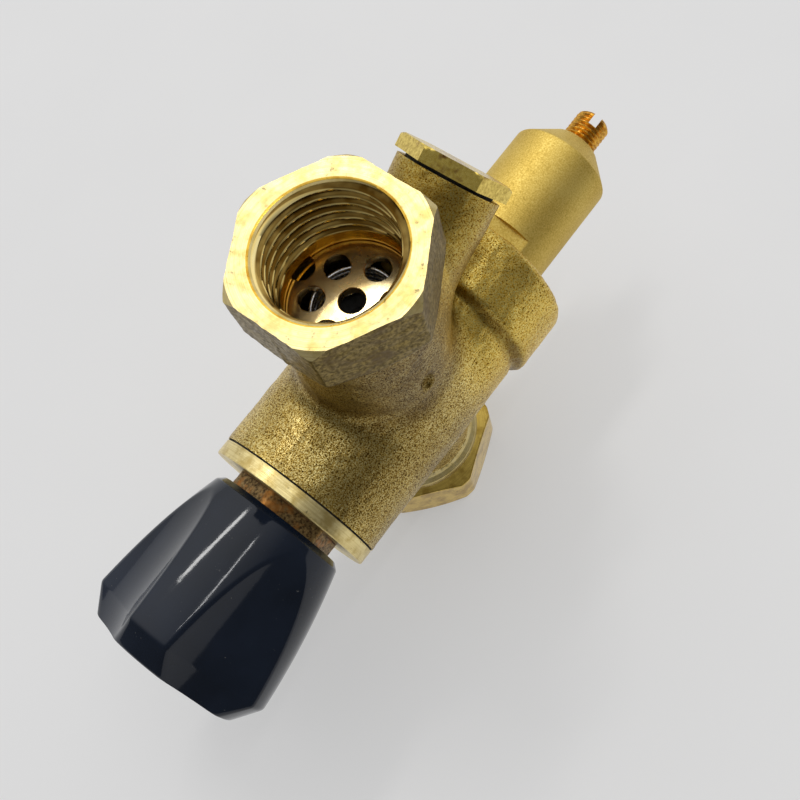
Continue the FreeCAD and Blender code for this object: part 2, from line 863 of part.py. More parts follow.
def check_valve():
    """The seat, seal and poppet that stop flow coming back in at the outlet."""
    seat = turned("seat_rim", [
        ("check_floor", "seat_ring_inner"),
        ("check_floor", "check_bore - slip"),
        ("seat_ring_top - edge", "check_bore - slip"),
        ("seat_ring_top - edge", "seat_ring_inner + 3 * edge"),
        ("seat_ring_top", "seat_ring_inner + 2 * edge"),
        ("seat_ring_top", "seat_ring_inner"),
    ], "port")
    hub = cylinder("seat_hub", "hub_radius", "seat_ring_top - check_floor - edge")
    bind(hub, Placement__Base__z="check_floor")
    spokes = []
    for turn in (30, 150, 270):
        spoke = doc.addObject("Part::Box", f"seat_spoke_{turn}")
        spun = FreeCAD.Rotation(FreeCAD.Vector(0, 0, 1), turn)
        corner = spun.multVec(FreeCAD.Vector(0, -size("spoke_width") / 2, 0))
        spoke.Placement = FreeCAD.Placement(
            FreeCAD.Vector(corner.x, corner.y, size("check_floor")), spun
        )
        bind(
            spoke,
            Length="seat_ring_inner + edge",
            Width="spoke_width",
            Height="seat_ring_top - check_floor - 2 * edge",
            Placement__Base__z="check_floor",
        )
        spokes.append(spoke)
    guide = cylinder("seat_guide_hole", "guide_hole", "seat_ring_top - check_floor + 2")
    bind(guide, Placement__Base__z="check_floor - 1")
    keep(cut("seat_drilled", joined("seat_spider", seat, hub, *spokes), guide), "check_seat")
    keep(turned("poppet_blank", [
        ("guide_end", "0"),
        ("guide_end", "guide_radius"),
        ("check_seal_top", "guide_radius"),
        ("check_seal_top", "poppet_radius"),
        ("poppet_top", "poppet_radius"),
        ("poppet_top", "poppet_pilot"),
        ("poppet_pilot_top", "poppet_pilot"),
        ("poppet_pilot_top", "stub_radius"),
        ("stub_top - edge", "stub_radius"),
        ("stub_top", "stub_radius - edge"),
        ("stub_top", "0"),
    ], "port"), "check_poppet")
    keep(turned("check_disc", [
        ("seat_ring_top", "check_seal_inner"),
        ("seat_ring_top", "check_seal_radius"),
        ("check_seal_top", "check_seal_radius"),
        ("check_seal_top", "check_seal_inner"),
    ], "port"), "check_seal")


def side_plug():
    """The hexagon-headed plug in the side branch, and the ring under its head."""
    head = "branch_length + plug_gap"
    blank = turned("plug_blank", [
        ("plug_foot", "0"),
        ("plug_foot", "plug_thread - edge"),
        ("plug_foot + edge", "plug_thread"),
        (head, "plug_thread"),
        (head, "plug_flats / 2 + 3 * edge"),
        (f"{head} + plug_head - edge", "plug_flats / 2 + 3 * edge"),
        (f"{head} + plug_head", "plug_crown"),
        (f"{head} + plug_head", "0"),
    ], "branch")
    up_branch = FreeCAD.Rotation(FreeCAD.Vector(0, -1, 0), size("branch_angle"))
    spin = FreeCAD.Rotation(FreeCAD.Vector(1, 0, 0), size("slot_turn") + 30)
    lying = FreeCAD.Rotation(FreeCAD.Vector(0, 1, 0), 90)
    bar = prism(
        "plug_bar", "plug_flats", "branch_length + 10",
        FreeCAD.Placement(
            FreeCAD.Vector(0, 0, size("axis_height + branch_rise")), up_branch * spin * lying
        ),
    )
    bind(bar, Placement__Base__z="axis_height + branch_rise")
    keep(common("plug_hexagon", blank, bar), "side_plug")
    keep(turned("plug_ring", [
        ("branch_length", "plug_bore"),
        ("branch_length", "plug_flats / 2"),
        (head, "plug_flats / 2"),
        (head, "plug_bore"),
    ], "branch"), "side_plug_gasket")


def inlet_union():
    """The flanged tail screwed into the boss, the nut that turns on it, and the inlet gasket."""
    keep(turned("tail_blank", [
        ("flange_bottom", "tail_bore_radius"),
        ("flange_bottom", "tail_flange"),
        ("nut_lip_bottom", "tail_flange"),
        ("nut_lip_bottom", "tail_shank"),
        ("tail_shank_top", "tail_shank"),
        ("tail_shank_top", "tail_thread"),
        ("tail_top - edge", "tail_thread"),
        ("tail_top", "tail_thread - edge"),
        ("tail_top", "tail_bore_radius"),
    ], "port"), "inlet_tail")
    keep(turned("inlet_ring", [
        ("nut_thread_length", "tail_bore_radius"),
        ("nut_thread_length", "tail_flange"),
        ("flange_bottom", "tail_flange"),
        ("flange_bottom", "tail_bore_radius"),
    ], "port"), "inlet_gasket")
    blank = turned("nut_blank", [
        ("0", "thread_radius"),
        ("0", "nut_foot"),
        ("3 * edge", "nut_corner"),
        ("nut_height - nut_crown_fall", "nut_corner"),
        ("nut_height", "nut_crown"),
        ("nut_height", "nut_lip_radius"),
        ("nut_lip_bottom", "nut_lip_radius"),
        ("nut_lip_bottom", "nut_relief_radius"),
        ("nut_thread_length", "nut_relief_radius"),
        ("nut_thread_length", "thread_radius"),
    ], "port")
    bar = prism(
        "nut_bar", "nut_flats", "nut_height",
        FreeCAD.Placement(FreeCAD.Vector(), FreeCAD.Rotation(FreeCAD.Vector(0, 0, 1), 20)),
    )
    keep(common("nut_hexagon", blank, bar), "union_nut")


valve_body()
seat_insert()
bonnet_and_gasket()
spindle_and_seal()
knob()
knob_fastenings()
shut_off_disc()
relief_group()
spring_housing()
adjusting_screw()
spring("relief_coil_spring", "relief_spring",
       "relief_wire", "relief_coil", "relief_pitch", "piston_end", "button_face", False)
guide_plate()
check_valve()
spring("check_coil_spring", "check_spring",
       "check_wire", "check_coil", "check_pitch", "poppet_top", "plate_bottom", True)
side_plug()
inlet_union()

doc.recompute()
for thing in doc.Objects:
    if "Invalid" in thing.State or "Error" in thing.State:
        raise RuntimeError(f"{thing.Label} did not recompute")
for subpart in SUBPARTS:
    if subpart.Shape.isNull() or not subpart.Shape.isValid():
        raise RuntimeError(f"{subpart.Label} has no valid shape")
for subpart in SUBPARTS:
    subpart.Shape.exportStep(f"parts/{subpart.Label}.step")
print(len(SUBPARTS), "sub-parts")
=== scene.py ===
import json
import math

import bpy
import numpy as np
import openvdb
from mathutils import Matrix, Vector, noise


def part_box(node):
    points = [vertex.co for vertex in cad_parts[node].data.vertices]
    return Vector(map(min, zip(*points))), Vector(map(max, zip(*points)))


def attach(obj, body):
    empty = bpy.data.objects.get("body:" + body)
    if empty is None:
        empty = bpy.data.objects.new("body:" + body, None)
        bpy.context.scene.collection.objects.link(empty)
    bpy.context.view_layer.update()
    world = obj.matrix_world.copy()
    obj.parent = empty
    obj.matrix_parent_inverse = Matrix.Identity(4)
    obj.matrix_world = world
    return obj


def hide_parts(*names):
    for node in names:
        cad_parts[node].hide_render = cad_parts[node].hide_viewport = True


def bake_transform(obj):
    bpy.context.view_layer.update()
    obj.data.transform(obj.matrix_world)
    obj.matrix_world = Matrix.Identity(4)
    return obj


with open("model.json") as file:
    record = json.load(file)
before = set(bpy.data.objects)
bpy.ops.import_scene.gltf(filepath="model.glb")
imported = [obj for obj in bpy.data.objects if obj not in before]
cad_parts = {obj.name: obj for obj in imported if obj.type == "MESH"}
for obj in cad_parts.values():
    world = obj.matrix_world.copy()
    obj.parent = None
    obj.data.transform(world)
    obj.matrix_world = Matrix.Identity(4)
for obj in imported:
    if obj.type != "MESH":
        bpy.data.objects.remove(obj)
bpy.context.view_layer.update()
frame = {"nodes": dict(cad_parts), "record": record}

# Sizes are in millimetres until a mesh is made; Blender's own units are metres.
MM = 0.001

# Without a seed, the noise that roughen() uses starts from the clock and differs at each run.
noise.seed_set(1)


# ---------------------------------------------------------------- sizes read from the frame

def box_mm(node):
    """Lowest and highest corner of a CAD node, in millimetres."""
    return [[c / MM for c in corner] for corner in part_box(node)]


BODY_LOW, BODY_HIGH = box_mm("valve_body")
KNOB_LOW, KNOB_HIGH = box_mm("knob")
HOUSING_LOW, HOUSING_HIGH = box_mm("spring_housing")
SCREW_LOW, SCREW_HIGH = box_mm("adjusting_screw")
PLATE_LOW, PLATE_HIGH = box_mm("guide_plate")
BONNET_LOW, BONNET_HIGH = box_mm("bonnet")
CAP_LOW, CAP_HIGH = box_mm("knob_cap")

AXIS_HEIGHT = (HOUSING_LOW[2] + HOUSING_HIGH[2]) / 2
BAND_FACE = BODY_LOW[0]
FLANGE_END = BODY_HIGH[0]
FLANGE_RADIUS = BODY_HIGH[1]
BOSS_END = BODY_LOW[2]
PORT_TOP = BODY_HIGH[2]
NUT_TOP = box_mm("union_nut")[1][2]
POPPET_TOP = box_mm("check_poppet")[1][2]

# the side branch leaves the port line at this height and angle
BRANCH_HEIGHT = 51.8
BRANCH_ANGLE = math.radians(27.0)
BRANCH_LENGTH = 25.3
# how the small hexagons and the screw's slot happen to be turned
TOOL_TURN = math.radians(22.0)
# both pipe threads have 14 turns to the inch
THREAD_PITCH = 25.4 / 14
# the outlet's first crest: its angle, and its distance below the port's face
THREAD_START = math.radians(80)
THREAD_LEAD = 0.7


class Line:
    """A centre line: where it starts, where it runs and which way its angle 0 points."""

    def __init__(self, start, along, zero):
        self.start = np.array(start, float)
        self.along = np.array(along, float)
        self.zero = np.array(zero, float)
        self.quarter = np.cross(self.along, self.zero)

    def place(self, station, radius, angle):
        """Points at a distance along the line, a radius from it and an angle about it."""
        out = np.cos(angle)[..., None] * self.zero + np.sin(angle)[..., None] * self.quarter
        return self.start + station[..., None] * self.along + radius[..., None] * out

    def read(self, points):
        """Station, radius and angle of points."""
        offset = points - self.start
        across = offset @ self.zero
        side = offset @ self.quarter
        return offset @ self.along, np.hypot(across, side), np.arctan2(side, across)


BARREL = Line((0, 0, AXIS_HEIGHT), (1, 0, 0), (0, 0, 1))
PORT = Line((0, 0, 0), (0, 0, 1), (1, 0, 0))
BRANCH = Line(
    (0, 0, BRANCH_HEIGHT),
    (math.cos(BRANCH_ANGLE), 0, math.sin(BRANCH_ANGLE)),
    (-math.sin(BRANCH_ANGLE), 0, math.cos(BRANCH_ANGLE)),
)


# ---------------------------------------------------------------- shapes

def soft_min(a, b, reach):
    """The smaller of two fields, rounded off where they differ by less than reach."""
    near = np.clip(reach - np.abs(a - b), 0, None) / reach
    return np.minimum(a, b) - near ** 2 * reach / 4


def soft_max(a, b, reach):
    return -soft_min(-a, -b, reach)


def hexagon(angle, flats, clock):
    """Radius of a hexagon at an angle; clock is the direction of one flat's normal."""
    sixth = math.pi / 3
    return flats / 2 / np.cos((angle - clock + sixth / 2) % sixth - sixth / 2)


def ridge(turns):
    """A thread's height from 0 to 1 against the number of turns, rounded at top and root."""
    slope = np.clip(1.22 * np.abs(2 * (turns % 1) - 1) - 0.11, 0, 1)
    return 0.6 * slope + 0.4 * slope * slope * (3 - 2 * slope)


def arc(start, end, radius, count):
    """Points of an outward-bulging arc between two (station, radius) points, ends left out."""
    start, end = np.array(start, float), np.array(end, float)
    chord = end - start
    length = np.hypot(*chord)
    inward = np.array([chord[1], -chord[0]]) / length
    centre = (start + end) / 2 + inward * math.sqrt(radius ** 2 - length ** 2 / 4)
    first = math.atan2(*(start - centre)[::-1])
    last = math.atan2(*(end - centre)[::-1])
    sweep = np.linspace(first, last, count + 2)[1:-1]
    return [(centre[0] + radius * math.cos(t), centre[1] + radius * math.sin(t)) for t in sweep]


def corner_points(before, corner, after, radius, count=5):
    """The corner itself, or the points of an arc of that radius that rounds it."""
    if radius == 0:
        return [corner]
    back, on = before - corner, after - corner
    reach = 0.48 * min(np.hypot(*back), np.hypot(*on))
    back, on = back / np.hypot(*back), on / np.hypot(*on)
    half = math.acos(np.clip(back @ on, -1, 1)) / 2
    cut = min(radius / math.tan(half), reach)
    radius = cut * math.tan(half)
    centre = corner + (back + on) / np.hypot(*(back + on)) * radius / math.sin(half)
    first, last = corner + cut * back - centre, corner + cut * on - centre
    sweep = math.pi - 2 * half
    return [
        centre + (math.sin(sweep * (1 - w)) * first + math.sin(sweep * w) * last) / math.sin(sweep)
        for w in np.linspace(0, 1, count + 1)
    ]


def profile(outline, closed, step):
    """The outline's points: corners rounded where they name a radius, long sides divided."""
    corners = [np.array(c[:2], float) for c in outline]
    count = len(corners)
    points = []
    for index, corner in enumerate(corners):
        radius = outline[index][2] if len(outline[index]) == 3 else 0
        points += corner_points(corners[index - 1], corner, corners[(index + 1) % count], radius)
    spaced = []
    sides = len(points) if closed else len(points) - 1
    for index in range(sides):
        here, there = points[index], points[(index + 1) % len(points)]
        parts = max(1, math.ceil(np.hypot(*(there - here)) / step))
        spaced += [here + (there - here) * part / parts for part in range(parts)]
    if not closed:
        spaced.append(points[-1])
    return np.array(spaced)


def lathe(line, outline, shape=None, columns=192, step=2.0, closed=False, first=0.0):
    """Turn an outline of (station, radius[, corner radius]) about a line.

    An open outline starts and ends on the line. The outer side runs towards larger stations.
    shape(station, radius, angle) may change the radius, for flats, lobes and threads.
    """
    points = profile(outline, closed, step)
    angles = first + np.arange(columns) * 2 * math.pi / columns
    station, angle = np.meshgrid(points[:, 0], angles, indexing="ij")
    radius = np.repeat(points[:, 1:], columns, axis=1)
    if shape is not None:
        radius = shape(station, radius, angle)
    grid = line.place(station, radius, angle)
    rows = len(points)
    if closed:
        vertices = grid.reshape(-1, 3)
        spans = [(row, (row + 1) % rows) for row in range(rows)]
        offset = 0
    else:
        inner = grid[1:-1].reshape(-1, 3)
        vertices = np.vstack([grid[0, :1], inner, grid[-1, :1]])
        spans = [(row, row + 1) for row in range(rows - 3)]
        offset = 1
    faces = []
    for low, high in spans:
        a, b = offset + low * columns, offset + high * columns
        faces += [
            (a + c, a + (c + 1) % columns, b + (c + 1) % columns, b + c) for c in range(columns)
        ]
    if not closed:
        end = len(vertices) - 1
        last = offset + (rows - 3) * columns
        faces += [(0, 1 + (c + 1) % columns, 1 + c) for c in range(columns)]
        faces += [(end, last + c, last + (c + 1) % columns) for c in range(columns)]
    return vertices, faces


def coil(line, low, high, mean, wire, turns, dead_turns=1.0, sides=14, per_turn=72):
    """A coil spring's tube between two faces, with its end turns closed up."""
    count = int(turns * per_turn)
    turn = np.linspace(0, turns, count + 1)
    pitch_turns = turns - 2 * dead_turns
    closing = 2.1 * wire
    free = high - low - 2 * wire - 2 * dead_turns * closing
    rise = np.where(
        turn < dead_turns,
        turn * closing,
        np.where(
            turn > turns - dead_turns,
            dead_turns * closing + free + (turn - turns + dead_turns) * closing,
            dead_turns * closing + (turn - dead_turns) * free / pitch_turns,
        ),
    )
    width = np.ones(5) / 5
    for _ in range(6):
        padded = np.concatenate([2 * rise[0] - rise[2:0:-1], rise, 2 * rise[-1] - rise[-2:-4:-1]])
        rise = np.convolve(padded, width, "valid")
    centre = line.place(low + wire + rise, np.full(count + 1, mean), turn * 2 * math.pi)
    run = np.gradient(centre, axis=0)
    run /= np.linalg.norm(run, axis=1)[:, None]
    out = line.place(np.zeros(count + 1), np.ones(count + 1), turn * 2 * math.pi) - line.start
    out -= (out * run).sum(1)[:, None] * run
    out /= np.linalg.norm(out, axis=1)[:, None]
    side = np.cross(run, out)
    around = np.arange(sides) * 2 * math.pi / sides
    grid = (
        centre[:, None]
        + wire * np.cos(around)[None, :, None] * out[:, None]
        + wire * np.sin(around)[None, :, None] * side[:, None]
    )
    return grid.reshape(-1, 3), tube_faces(count + 1, sides)


def tube_faces(rings, sides):
    """Faces of a capped tube whose vertices are rings of the same count."""
    faces = []
    for row in range(rings - 1):
        a, b = row * sides, (row + 1) * sides
        faces += [(a + c, a + (c + 1) % sides, b + (c + 1) % sides, b + c) for c in range(sides)]
    faces.append(tuple(range(sides))[::-1])
    faces.append(tuple((rings - 1) * sides + c for c in range(sides)))
    return faces


def build(name, geometry, materials, paint=None, sharp=32):
    """A mesh object from vertices in millimetres; paint(centres) gives material numbers."""
    vertices, faces = geometry
    mesh = bpy.data.meshes.new(name)
    mesh.from_pydata((vertices * MM).tolist(), [], faces)
    for material in materials:
        mesh.materials.append(material)
    if paint is not None:
        centres = np.empty(len(mesh.polygons) * 3)
        mesh.polygons.foreach_get("center", centres)
        mesh.polygons.foreach_set("material_index", paint(centres.reshape(-1, 3) / MM).astype(int))
    finish_shading(mesh, sharp)
    thing = bpy.data.objects.new(name, mesh)
    bpy.context.scene.collection.objects.link(thing)
    return thing


def finish_shading(mesh, sharp):
    mesh.shade_smooth()
    mesh.set_sharp_from_angle(angle=math.radians(sharp))


def carve(thing, *tools, sharp=32):
    """Cut tools out of a closed mesh, and delete the tools."""
    for tool in tools:
        cut = thing.modifiers.new("cut", "BOOLEAN")
        cut.operation = "DIFFERENCE"
        cut.solver = "MANIFOLD"
        cut.object = tool
    graph = bpy.context.evaluated_depsgraph_get()
    carved = bpy.data.meshes.new_from_object(thing.evaluated_get(graph))
    thing.modifiers.clear()
    thing.data = carved
    finish_shading(carved, sharp)
    for tool in tools:
        bpy.data.objects.remove(tool)


def roughen(geometry, size, depth, seed, keep=None):
    """Push vertices in and out by smooth noise, except where keep(vertices) is true."""
    vertices, faces = geometry
    kept = keep(vertices) if keep else np.zeros(len(vertices), bool)
    shift = Vector((seed, seed * 1.7, -seed))
    moved = vertices.copy()
    for index in np.flatnonzero(~kept):
        spot = Vector(vertices[index]) / size + shift
        moved[index] += depth * np.array(noise.noise_vector(spot))
    return moved, faces


def stand(thing, body, node):
    """Ride the piece on its body and let it replace its CAD node."""
    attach(thing, body)
    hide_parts(node)


# ---------------------------------------------------------------- materials

class Paint:
    """One material's node graph, with short calls for the nodes that this scene uses."""

    def __init__(self, name, **shader):
        self.material = bpy.data.materials.new(name)
        self.material.use_nodes = True
        self.tree = self.material.node_tree
        self.shader = self.tree.nodes["Principled BSDF"]
        self.place = self.add("ShaderNodeTexCoord").outputs["Object"]
        for socket, value in shader.items():
            self.shader.inputs[socket.replace("_", " ")].default_value = value

    def add(self, kind, **settings):
        node = self.tree.nodes.new(kind)
        for name, value in settings.items():
            setattr(node, name, value)
        return node

    def feed(self, target, value):
        """Link an output to a socket, or set the socket's own number or colour."""
        if isinstance(value, bpy.types.NodeSocket):
            self.tree.links.new(value, target)
        elif isinstance(value, tuple) and len(value) == 3 and len(target.default_value) == 4:
            target.default_value = (*value, 1)
        else:
            target.default_value = value

    def noise(self, scale, detail=3.0, roughness=0.55, place=None):
        node = self.add("ShaderNodeTexNoise")
        self.feed(node.inputs["Vector"], place or self.place)
        self.feed(node.inputs["Scale"], scale)
        self.feed(node.inputs["Detail"], detail)
        self.feed(node.inputs["Roughness"], roughness)
        return node.outputs["Fac"]

    def math(self, kind, a, b=0.0):
        node = self.add("ShaderNodeMath", operation=kind)
        self.feed(node.inputs[0], a)
        self.feed(node.inputs[1], b)
        return node.outputs[0]

    def weighed(self, first, second):
        """Two (value, share) pairs added together."""
        return self.math("ADD", self.math("MULTIPLY", *first), self.math("MULTIPLY", *second))

    def ramp(self, value, *stops):
        """Colours, or grey levels, at positions along a value."""
        node = self.add("ShaderNodeValToRGB")
        self.feed(node.inputs["Fac"], value)
        elements = node.color_ramp.elements
        while len(elements) < len(stops):
            elements.new(0.5)
        for element, (position, colour) in zip(elements, stops):
            element.position = position
            element.color = (*colour, 1) if isinstance(colour, tuple) else (colour,) * 3 + (1,)
        return node.outputs["Color"]

    def blend(self, factor, a, b, kind="MIX"):
        node = self.add("ShaderNodeMix", data_type="RGBA", blend_type=kind)
        self.feed(node.inputs[0], factor)
        self.feed(node.inputs[6], a)
        self.feed(node.inputs[7], b)
        return node.outputs[2]

    def stretched(self, x, y, z):
        """The place with each direction scaled, for marks that run one way."""
        node = self.add("ShaderNodeMapping")
        self.feed(node.inputs["Vector"], self.place)
        node.inputs["Scale"].default_value = (x, y, z)
        return node.outputs["Vector"]

    def parts(self):
        """The place's x, y and z."""
        node = self.add("ShaderNodeSeparateXYZ")
        self.feed(node.inputs[0], self.place)
        return node.outputs

    def rings(self, scale):
        """The distance from the port line and the height, scaled, for marks that run round it."""
        flat = self.add("ShaderNodeVectorMath", operation="MULTIPLY")
        self.feed(flat.inputs[0], self.place)
        flat.inputs[1].default_value = (1, 1, 0)
        length = self.add("ShaderNodeVectorMath", operation="LENGTH")
        self.feed(length.inputs[0], flat.outputs["Vector"])
        joined = self.add("ShaderNodeCombineXYZ")
        self.feed(joined.inputs[0], self.math("MULTIPLY", length.outputs["Value"], scale))
        self.feed(joined.inputs[1], self.math("MULTIPLY", self.parts()[2], scale))
        return joined.outputs[0]

    def bump(self, *layers):
        """Bump from (height, strength, distance in millimetres) layers, finest last."""
        normal = None
        for height, strength, distance in layers:
            node = self.add("ShaderNodeBump")
            node.inputs["Strength"].default_value = strength
            node.inputs["Distance"].default_value = distance * MM
            self.feed(node.inputs["Height"], height)
            if normal is not None:
                self.feed(node.inputs["Normal"], normal)
            normal = node.outputs["Normal"]
        self.feed(self.shader.inputs["Normal"], normal)

    def finish(self, colour, roughness):
        self.feed(self.shader.inputs["Base Color"], colour)
        self.feed(self.shader.inputs["Roughness"], roughness)
        return self.material


def cast_brass():
    """Blasted casting: bright grains on a brown skin, darker in patches."""
    paint = Paint("cast_brass", Metallic=1.0)
    grain = paint.noise(4300, 2.0, 0.6)
    fine = paint.noise(8000, 1.0, 0.5)
    speckle = paint.weighed((grain, 0.7), (fine, 0.3))
    colour = paint.ramp(
        speckle,
        (0.38, (0.08, 0.042, 0.007)),
        (0.45, (0.40, 0.25, 0.045)),
        (0.51, (0.80, 0.56, 0.13)),
        (0.58, (1.0, 0.87, 0.40)),
    )
    gilt = paint.ramp(
        speckle,
        (0.37, (0.10, 0.05, 0.006)),
        (0.42, (0.60, 0.335, 0.03)),
        (0.47, (1.0, 0.65, 0.085)),
        (0.56, (1.0, 0.82, 0.25)),
    )
    # more golden towards the flange, from 3 mm to 10 mm along the barrel
    along = paint.math("MULTIPLY", paint.parts()[0], 50.0)
    colour = paint.blend(paint.ramp(along, (0.15, 0.0), (0.50, 0.9)), colour, gilt)
    broad = paint.noise(110, 4.0, 0.6)
    patch = paint.ramp(broad, (0.40, (0.66, 0.62, 0.56)), (0.62, (1.0, 1.0, 1.0)))
    colour = paint.blend(0.7, colour, patch, "MULTIPLY")
    # painted shade: a per-vertex value darkens the skin in the groove before the flange, on the
    # neck, at its foot, in the flaw and on the front side
    shade_level = paint.add("ShaderNodeAttribute", attribute_name="painted_shade").outputs["Fac"]
    broken = paint.math("MULTIPLY", shade_level, paint.ramp(paint.noise(260, 3.0), (0.3, 0.7), (0.6, 1.0)))
    colour = paint.blend(broken, colour, paint.blend(0.86, colour, (0.17, 0.13, 0.09), "MULTIPLY"))
    roughness = paint.ramp(speckle, (0.38, 0.52), (0.60, 0.27))
    paint.bump((paint.noise(420, 2.0), 0.25, 0.12), (speckle, 0.55, 0.10))
    return paint.finish(colour, roughness)


def machined_brass(name, marks, tint, dark, rough, depth=0.03):
    """Fresh cut brass with tool marks; marks(paint) gives the place that they follow."""
    paint = Paint(name, Metallic=1.0)
    lines = paint.noise(1.0, 2.0, 0.6, marks(paint))
    broad = paint.noise(420, 4.0, 0.6)
    nicks = paint.ramp(paint.noise(900, 3.0, 0.7), (0.30, 0.25), (0.34, 1.0))
    colour = paint.ramp(broad, (0.35, dark), (0.55, tint))
    colour = paint.blend(paint.ramp(lines, (0.35, 0.5), (0.6, 0.0)), colour, dark)
    colour = paint.blend(0.65, colour, nicks, "MULTIPLY")
    roughness = paint.ramp(paint.noise(900, 2.0), (0.3, rough + 0.05), (0.7, rough - 0.05))
    paint.bump((nicks, 0.4, 0.03), (lines, 0.5, depth))
    return paint.finish(colour, roughness)


def thread_brass():
    """The outlet's thread: bright painted highlights on the crests and brown painted shade on the
    flanks, by the helix's own turn.
    """
    paint = Paint("thread_brass", Metallic=1.0)
    x, y, z = paint.parts()
    angle = paint.math("ARCTAN2", y, x)
    climb = paint.math("MULTIPLY", z, 1 / (MM * THREAD_PITCH))
    turns = paint.math("SUBTRACT", climb, paint.math("MULTIPLY", angle, 0.5 / math.pi))
    start = (THREAD_LEAD - PORT_TOP) / THREAD_PITCH + THREAD_START / (2 * math.pi)
    turns = paint.math("ADD", turns, start)
    # painted highlight along the crests and painted shade down the flanks
    colour = paint.ramp(
        paint.math("FRACT", turns),
        (0.0, (1.0, 0.84, 0.40)),
        (0.09, (1.0, 0.76, 0.27)),
        (0.125, (0.24, 0.12, 0.016)),
        (0.24, (0.12, 0.06, 0.008)),
        (0.90, (0.20, 0.11, 0.02)),
        (0.955, (1.0, 0.84, 0.40)),
    )
    broad = paint.noise(150, 3.0, 0.6)
    colour = paint.blend(paint.ramp(broad, (0.46, 0.0), (0.66, 0.35)), colour, (0.95, 0.68, 0.20))
    scratches = paint.noise(1.0, 2.0, 0.6, paint.rings(5200))
    paint.bump((scratches, 0.3, 0.012))
    return paint.finish(colour, paint.ramp(broad, (0.35, 0.24), (0.65, 0.15)))


def along_barrel(paint):
    return paint.stretched(7000, 60, 60)


def around_port(paint):
    return paint.rings(6500)


def satin_brass():
    """Turned housing with a fine even grain."""
    paint = Paint("satin_brass", Metallic=1.0)
    grain = paint.noise(4200, 2.0, 0.6)
    lines = paint.noise(1.0, 2.0, 0.6, paint.stretched(4500, 130, 130))
    broad = paint.noise(90, 3.0)
    colour = paint.ramp(
        paint.weighed((grain, 0.6), (broad, 0.4)),
        (0.36, (0.52, 0.36, 0.07)),
        (0.50, (0.68, 0.485, 0.11)),
        (0.64, (0.78, 0.595, 0.17)),
    )
    paint.bump((lines, 0.12, 0.02), (grain, 0.35, 0.04))
    return paint.finish(colour, paint.ramp(grain, (0.35, 0.60), (0.65, 0.50)))


def stained_brass(name, low, high, stain, rough=0.42, tooth=0.4):
    """Brass with a brown film and spots of rust colour."""
    paint = Paint(name, Metallic=1.0)
    grain = paint.noise(1900, 3.0, 0.65)
    colour = paint.ramp(grain, (0.36, low), (0.62, high))
    spots = paint.ramp(paint.noise(230, 4.0, 0.65), (0.52, 0.0), (0.64, 1.0))
    colour = paint.blend(spots, colour, stain)
    paint.bump((paint.noise(600, 3.0), tooth, 0.08), (grain, tooth, 0.05))
    return paint.finish(colour, paint.ramp(grain, (0.35, rough + 0.12), (0.65, rough - 0.08)))


def copper_screw():
    paint = Paint("copper_screw", Metallic=1.0)
    grain = paint.noise(1500, 3.0)
    colour = paint.ramp(grain, (0.36, (0.45, 0.20, 0.025)), (0.60, (0.88, 0.49, 0.08)))
    paint.bump((grain, 0.25, 0.03))
    return paint.finish(colour, paint.ramp(grain, (0.35, 0.34), (0.65, 0.22)))


def polished_plate():
    paint = Paint("polished_plate", Metallic=1.0)
    broad = paint.noise(260, 3.0)
    lines = paint.noise(1.0, 2.0, 0.5, paint.stretched(300, 5200, 300))
    pits = paint.ramp(paint.noise(1300, 2.0, 0.6), (0.27, 0.2), (0.31, 1.0))
    # warm steel tinted golden: partly the plate's own tone, partly painted reflection of the brass
    # around it
    colour = paint.ramp(broad, (0.35, (0.76, 0.54, 0.22)), (0.60, (0.86, 0.69, 0.38)))
    colour = paint.blend(0.7, colour, pits, "MULTIPLY")
    paint.bump((lines, 0.06, 0.01))
    return paint.finish(colour, paint.ramp(broad, (0.35, 0.28), (0.65, 0.19)))


def bright_steel():
    paint = Paint("bright_steel", Metallic=1.0)
    level = 0.66
    grain = paint.noise(1700, 3.0)
    colour = paint.ramp(grain, (0.35, (level * 0.7,) * 3), (0.65, (level, level, level * 0.98)))
    paint.bump((grain, 0.15, 0.02))
    return paint.finish(colour, paint.ramp(grain, (0.35, 0.32), (0.65, 0.18)))


def knob_plastic():
    """Glossy navy-black moulding with faint waves and hairline marks."""
    paint = Paint("knob_plastic", IOR=1.40)
    waves = paint.noise(420, 3.0)
    hair = paint.noise(1.0, 3.0, 0.6, paint.stretched(260, 2600, 2600))
    cloud = paint.noise(70, 3.0)
    colour = paint.ramp(cloud, (0.35, (0.004, 0.008, 0.017)), (0.65, (0.009, 0.015, 0.030)))
    specks = paint.ramp(paint.noise(1500, 2.0, 0.7), (0.72, 0.0), (0.78, 1.0))
    colour = paint.blend(specks, colour, (0.10, 0.10, 0.10))
    paint.bump((waves, 0.16, 0.06), (hair, 0.05, 0.01))
    return paint.finish(colour, paint.ramp(hair, (0.3, 0.05), (0.7, 0.10)))


def soft_matter(name, low, high, rough):
    """Rubber, fibre and matte plastic: two close tones with a fine tooth."""
    paint = Paint(name)
    grain = paint.noise(900, 4.0, 0.6)
    paint.bump((grain, 0.3, 0.04))
    return paint.finish(
        paint.ramp(grain, (0.35, low), (0.65, high)),
        paint.ramp(grain, (0.3, rough + 0.1), (0.7, rough - 0.1)),
    )


